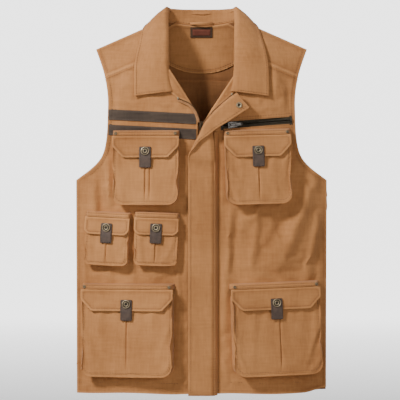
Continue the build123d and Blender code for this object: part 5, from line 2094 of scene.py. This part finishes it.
    def build_flap(self) -> None:
        """Make the flap with its turned edge and topstitching."""
        half, low = self.half, -self.flap
        outline = [(half, -0.1), (-half, -0.1), (-half, low + self.cut_y), (self.cut_x - half, low),
                   (half - self.cut_x, low), (half, low + self.cut_y)]
        rounded = []
        for i, corner in enumerate(outline):
            a, b, c = (np.array(outline[k % 6]) for k in (i - 1, i, i + 1))
            if i < 2:
                rounded.append(corner)
                continue
            r = 3.0
            for t in (0.0, 0.5, 1.0):
                p = (b + (a - b) / np.linalg.norm(a - b) * r) * (1 - t) ** 2 + b * 2 * t * (1 - t) + (
                    b + (c - b) / np.linalg.norm(c - b) * r) * t * t
                rounded.append(tuple(p))
        top = self.gap + self.flap_thick - 0.3
        place = lambda u, v, lift: self.at(
            u, v, top + self.flap_lift(u, v) + lift * smooth(-v, 2, 8) - 0.9 * (1 - smooth(-v, 0, 2.5)))
        piece, _, _ = self.shop.sheet(f"cloth_{self.name}_flap", Pattern(rounded, 4.5), place, relief=0.6)
        self.shop.finish(piece, 2.0, CANVAS, self.body, "canvas", f"{self.name}_flap")
        declare_sheet(piece, 2 * half * self.flap * 0.94 * MM * MM, 2 * half, self.flap + 2, "stretched",
                      [f"{self.name}_snap"])
        line = densify(beside([(-half, -1.0)] + rounded[2:] + [(half, -1.0)], 5.2), 4)
        self.shop.sewing.add(self.body, [place(u, v, 0.45) for u, v in line[2:-2] if v < -1.5 and abs(u) < half])

    def build_heading(self) -> bpy.types.Object:
        """Make the sewn band above the fold as a soft ridge on the body."""
        lip = self.gap + self.flap_thick
        rows = []
        for i in range(-2, 13):
            t = max(i, 0) / 12
            v = 0.15 + (self.heading + 1.5 - 0.15) * t
            tuck = (0.0, 0.8, 2.6)[max(-i, 0)]
            row = []
            for k in range(61):
                s = 2 * k / 60 - 1
                u = s * (self.half + 0.4)
                rim = self.at(u, v, lip)
                foot = self.ground(rim)
                ends = (1 - abs(s) ** 26)
                rise = (1 - t**5) * ends
                row.append(foot.lerp(rim, rise) + self.flat_out * (0.3 - tuck) * MM)
            rows.append(row)
        piece = grid_object(f"heading_{self.name}", rows)
        face_toward(piece, self.out)
        thicken(piece, 1.4)
        dress(piece, self.shop.wardrobe[CANVAS])
        for v in (2.4, 7.4):
            across = np.linspace(2.5 - self.half, self.half - 2.5, 40)
            self.shop.sewing.add("vest", [self.at(u, v, lip + 0.45) for u in across])
        return piece

    def build_tab(self) -> None:
        """Make the leather tab that the snap holds."""
        low = -self.snap_drop + self.tab_up - self.tab
        high = -self.snap_drop + self.tab_up
        half = self.tab_width / 2
        r = 2.5
        outline = []
        wide = half - r
        corners = ((wide, high - r, 0), (-wide, high - r, 90), (-wide, low + r, 180), (wide, low + r, 270))
        for cx, cy, a0 in corners:
            for a in np.linspace(0, 90, 5):
                angle = math.radians(a0 + a)
                outline.append((cx + r * math.cos(angle), cy + r * math.sin(angle)))
        hole = [(4.0 * math.cos(a), -self.snap_drop + 4.0 * math.sin(a)) for a in np.linspace(0, 2 * math.pi, 17)[:-1]]
        top = self.gap + self.flap_thick + 2.2

        def place(u: float, v: float, lift: float) -> Vector:
            sag = 1.6 * smooth(-self.flap - v, 0, 22)
            crown = 0.5 * (1 - (u / half) ** 2)
            return self.at(u, v, top - sag + crown - 0.3 + lift * 0.5)

        pattern = Pattern(outline, 3.0, [hole], rings=(1.0, 2.2))
        piece, _, _ = self.shop.sheet(f"leather_{self.name}_tab", pattern, place, relief=0.3)
        self.shop.finish(piece, 2.0, LEATHER, self.body, "leather", f"{self.name}_tab")
        rim = densify(beside(outline + outline[:1], 2.2), 3)
        self.shop.sewing.add(self.body, [place(u, v, 1.6) for u, v in rim], DARK_THREAD)

    def build(self) -> bpy.types.Object:
        """Finish the pocket and return its heading."""
        self.build_bag()
        self.build_flap()
        self.build_tab()
        self.build_snap()
        return self.build_heading()

    def build_snap(self) -> None:
        """Make the snap's ringed cap with its dark well."""
        axes = Matrix((self.along, self.up, self.out)).transposed()
        centre = self.at(0, -self.snap_drop, self.gap + self.flap_thick + 4.0)
        cap = lathe(f"brass_{self.name}_snap", centre, axes, SNAP_RING)
        self.shop.mount(cap, BRASS, self.body, "antique_brass", f"{self.name}_snap")
        well = lathe(f"well_{self.name}_snap", centre, axes, DARK_WELL, 24)
        self.shop.mount(well, DARK_METAL, self.body, "antique_brass")


# ---------------------------------------------------------------------------------------------------
# studio
# ---------------------------------------------------------------------------------------------------
# Each light's name, place from the vest's middle and size in metres, and power in watts.
LAMPS = (
    ("key", (-2.0, -1.8, 1.8), 0.5, 145),
    ("fill", (1.6, -3.2, 0.6), 2.0, 34),
    ("rear", (0.6, 2.8, 1.6), 1.6, 16),
)


@dataclass(frozen=True)
class Studio:
    """Pale room, soft lights and a long-lens camera level with the vest."""

    form: BodyForm
    view_width: float = 0.800
    distance: float = 4.2
    floor_below: float = 0.16
    front_glow: float = 0.05
    rear_glow: float = 2.6
    sky: float = 0.22

    def room(self) -> None:
        """Make the wide pale floor that curves up into a low round wall."""
        low = self.form.hem_z - self.floor_below
        profile = [(0.0, low), (4.0, low), (6.4, low + 0.1), (7.6, low + 0.9), (8.0, low + 2.4), (8.0, low + 3.6)]
        profile = curve_through(profile, 6)
        rows = [[Vector((r * math.sin(a), r * math.cos(a), z)) for a in np.linspace(0, 2 * math.pi, 49)[:-1]]
                for r, z in profile]
        room = grid_object("studio_floor", rows, closed=True)
        room.data.shade_smooth()
        material = bpy.data.materials.new("studio_white")
        material.use_nodes = True
        tree = material.node_tree
        make = Nodes(tree)
        shader = tree.nodes["Principled BSDF"]
        shader.inputs["Base Color"].default_value = (0.4, 0.4, 0.4, 1)
        shader.inputs["Roughness"].default_value = 0.9
        shader.inputs["Emission Color"].default_value = (1, 1, 1, 1)
        where = make.add("ShaderNodeTexCoord").outputs["Object"]
        depth = make.add("ShaderNodeSeparateXYZ", {0: where}).outputs["Y"]
        ramp = {0: depth, 1: 0.3, 2: 5.5, 3: self.front_glow, 4: self.rear_glow}
        glow = make.add("ShaderNodeMapRange", ramp).outputs[0]
        tree.links.new(glow, shader.inputs["Emission Strength"])
        dress(room, material)

    def light(self, name: str, place: tuple[float, float, float], size: float, power: float) -> None:
        """Add a soft square light that faces the vest."""
        data = bpy.data.lights.new(name, "AREA")
        data.shape = "SQUARE"
        data.size = size
        data.energy = power
        lamp = bpy.data.objects.new(name, data)
        middle = Vector((0, 0, self.form.hem_z + 0.42))
        lamp.location = middle + Vector(place)
        lamp.rotation_euler = (middle - lamp.location).to_track_quat("-Z", "Y").to_euler()
        bpy.context.scene.collection.objects.link(lamp)

    def build(self) -> None:
        """Make the room, the lights and the camera."""
        self.room()
        for lamp in LAMPS:
            self.light(*lamp)
        world = bpy.data.worlds.new("studio")
        world.use_nodes = True
        world.node_tree.nodes["Background"].inputs[0].default_value = (1, 1, 1, 1)
        world.node_tree.nodes["Background"].inputs[1].default_value = self.sky
        bpy.context.scene.world = world
        data = bpy.data.cameras.new("camera")
        data.sensor_width = 36.0
        data.lens = data.sensor_width * self.distance / self.view_width
        data.clip_end = 50
        camera = bpy.data.objects.new("camera", data)
        camera.location = (-0.003, self.form.side_y - 0.045 - self.distance, self.form.hem_z + 0.389)
        camera.rotation_euler = (math.pi / 2, 0, 0)
        bpy.context.scene.collection.objects.link(camera)
        bpy.context.scene.camera = camera


def refinish(wardrobe: Wardrobe) -> None:
    """Give the metal CAD pieces that still show their finishes.

    Args:
        wardrobe: The materials by finish.
    """
    shown = {"flap_rivets": OLD_BRASS, "storm_flap_sockets": OLD_BRASS, "pocket_studs": DARK_METAL}
    for name, finish in shown.items():
        thing = bpy.data.objects.get(name)
        if thing is not None and thing.type == "MESH":
            dress(thing, wardrobe[finish])


def main() -> None:
    """Build the vest piece by piece on the frame."""
    logging.basicConfig(level=logging.INFO, format="%(name)s %(message)s", stream=sys.stdout)
    form = BodyForm.from_frame()
    shop = Workshop(form, Lines(form), Wardrobe(), SewingBox(), SettlingTank())
    big, small = PocketSize.BIG, PocketSize.SMALL
    pockets = [
        Pocket(shop, "right_chest", big, 146.0, 31.0, (0.0, 9.0)),
        Pocket(shop, "left_chest", big, 146.0, 31.0, (1.0,)),
        Pocket(shop, "right_inner_small", small, 104.0, 21.0, (0.0,)),
        Pocket(shop, "right_outer_small", small, 104.0, 21.0, (1.0,)),
        Pocket(shop, "right_lower", big, 182.0, 30.0, (0.0,)), Pocket(shop, "left_lower", big, 182.0, 30.0, (6.0,)),
    ]
    panels = Panels(shop)
    zip_cover = [(25.0, 0.0), (34.0, 0.0), (34.0, form.below(195)), (25.0, form.below(195))]
    bands = [(-190.0, form.below(225)), (-8.0, form.below(232)), (-8.0, form.below(172)), (-190.0, form.below(162))]
    collar = [(-140.0, form.below(145)), (-58.0, form.below(145)), (-58.0, form.below(60)), (-140.0, form.below(60))]
    other = [(-x, z) for x, z in collar]
    chest = [(36.0, form.below(214)), (184.0, form.below(206)), (184.0, form.below(176)), (36.0, form.below(186))]
    panels.cut([pocket.footprint() for pocket in pockets] + [zip_cover, bands, collar, other, chest])
    for pocket in pockets:
        pocket.cut()
    shop.tank.run()
    panels.build()
    Trim(shop).build()
    Neck(shop).build()
    Lapels(shop).build()
    Webbing(shop).build()
    FrontZip(shop).build()
    ChestZip(shop).build()
    StormFlap(shop).build()
    headings = [pocket.build() for pocket in pockets]
    shop.assemble("cloth_flap_headings", headings, CANVAS, "canvas", "flap_headings")
    shop.sewing.sew(shop.wardrobe)
    refinish(shop.wardrobe)
    Studio(form).build()


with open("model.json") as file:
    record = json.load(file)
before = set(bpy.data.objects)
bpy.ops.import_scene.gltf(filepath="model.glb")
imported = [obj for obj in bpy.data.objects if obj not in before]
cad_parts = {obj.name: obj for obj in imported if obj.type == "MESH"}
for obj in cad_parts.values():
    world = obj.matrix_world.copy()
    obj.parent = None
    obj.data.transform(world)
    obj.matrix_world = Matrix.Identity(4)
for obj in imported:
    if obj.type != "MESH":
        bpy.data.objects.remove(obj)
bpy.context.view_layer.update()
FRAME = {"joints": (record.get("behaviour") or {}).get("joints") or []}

if __name__ == "__main__":
    main()
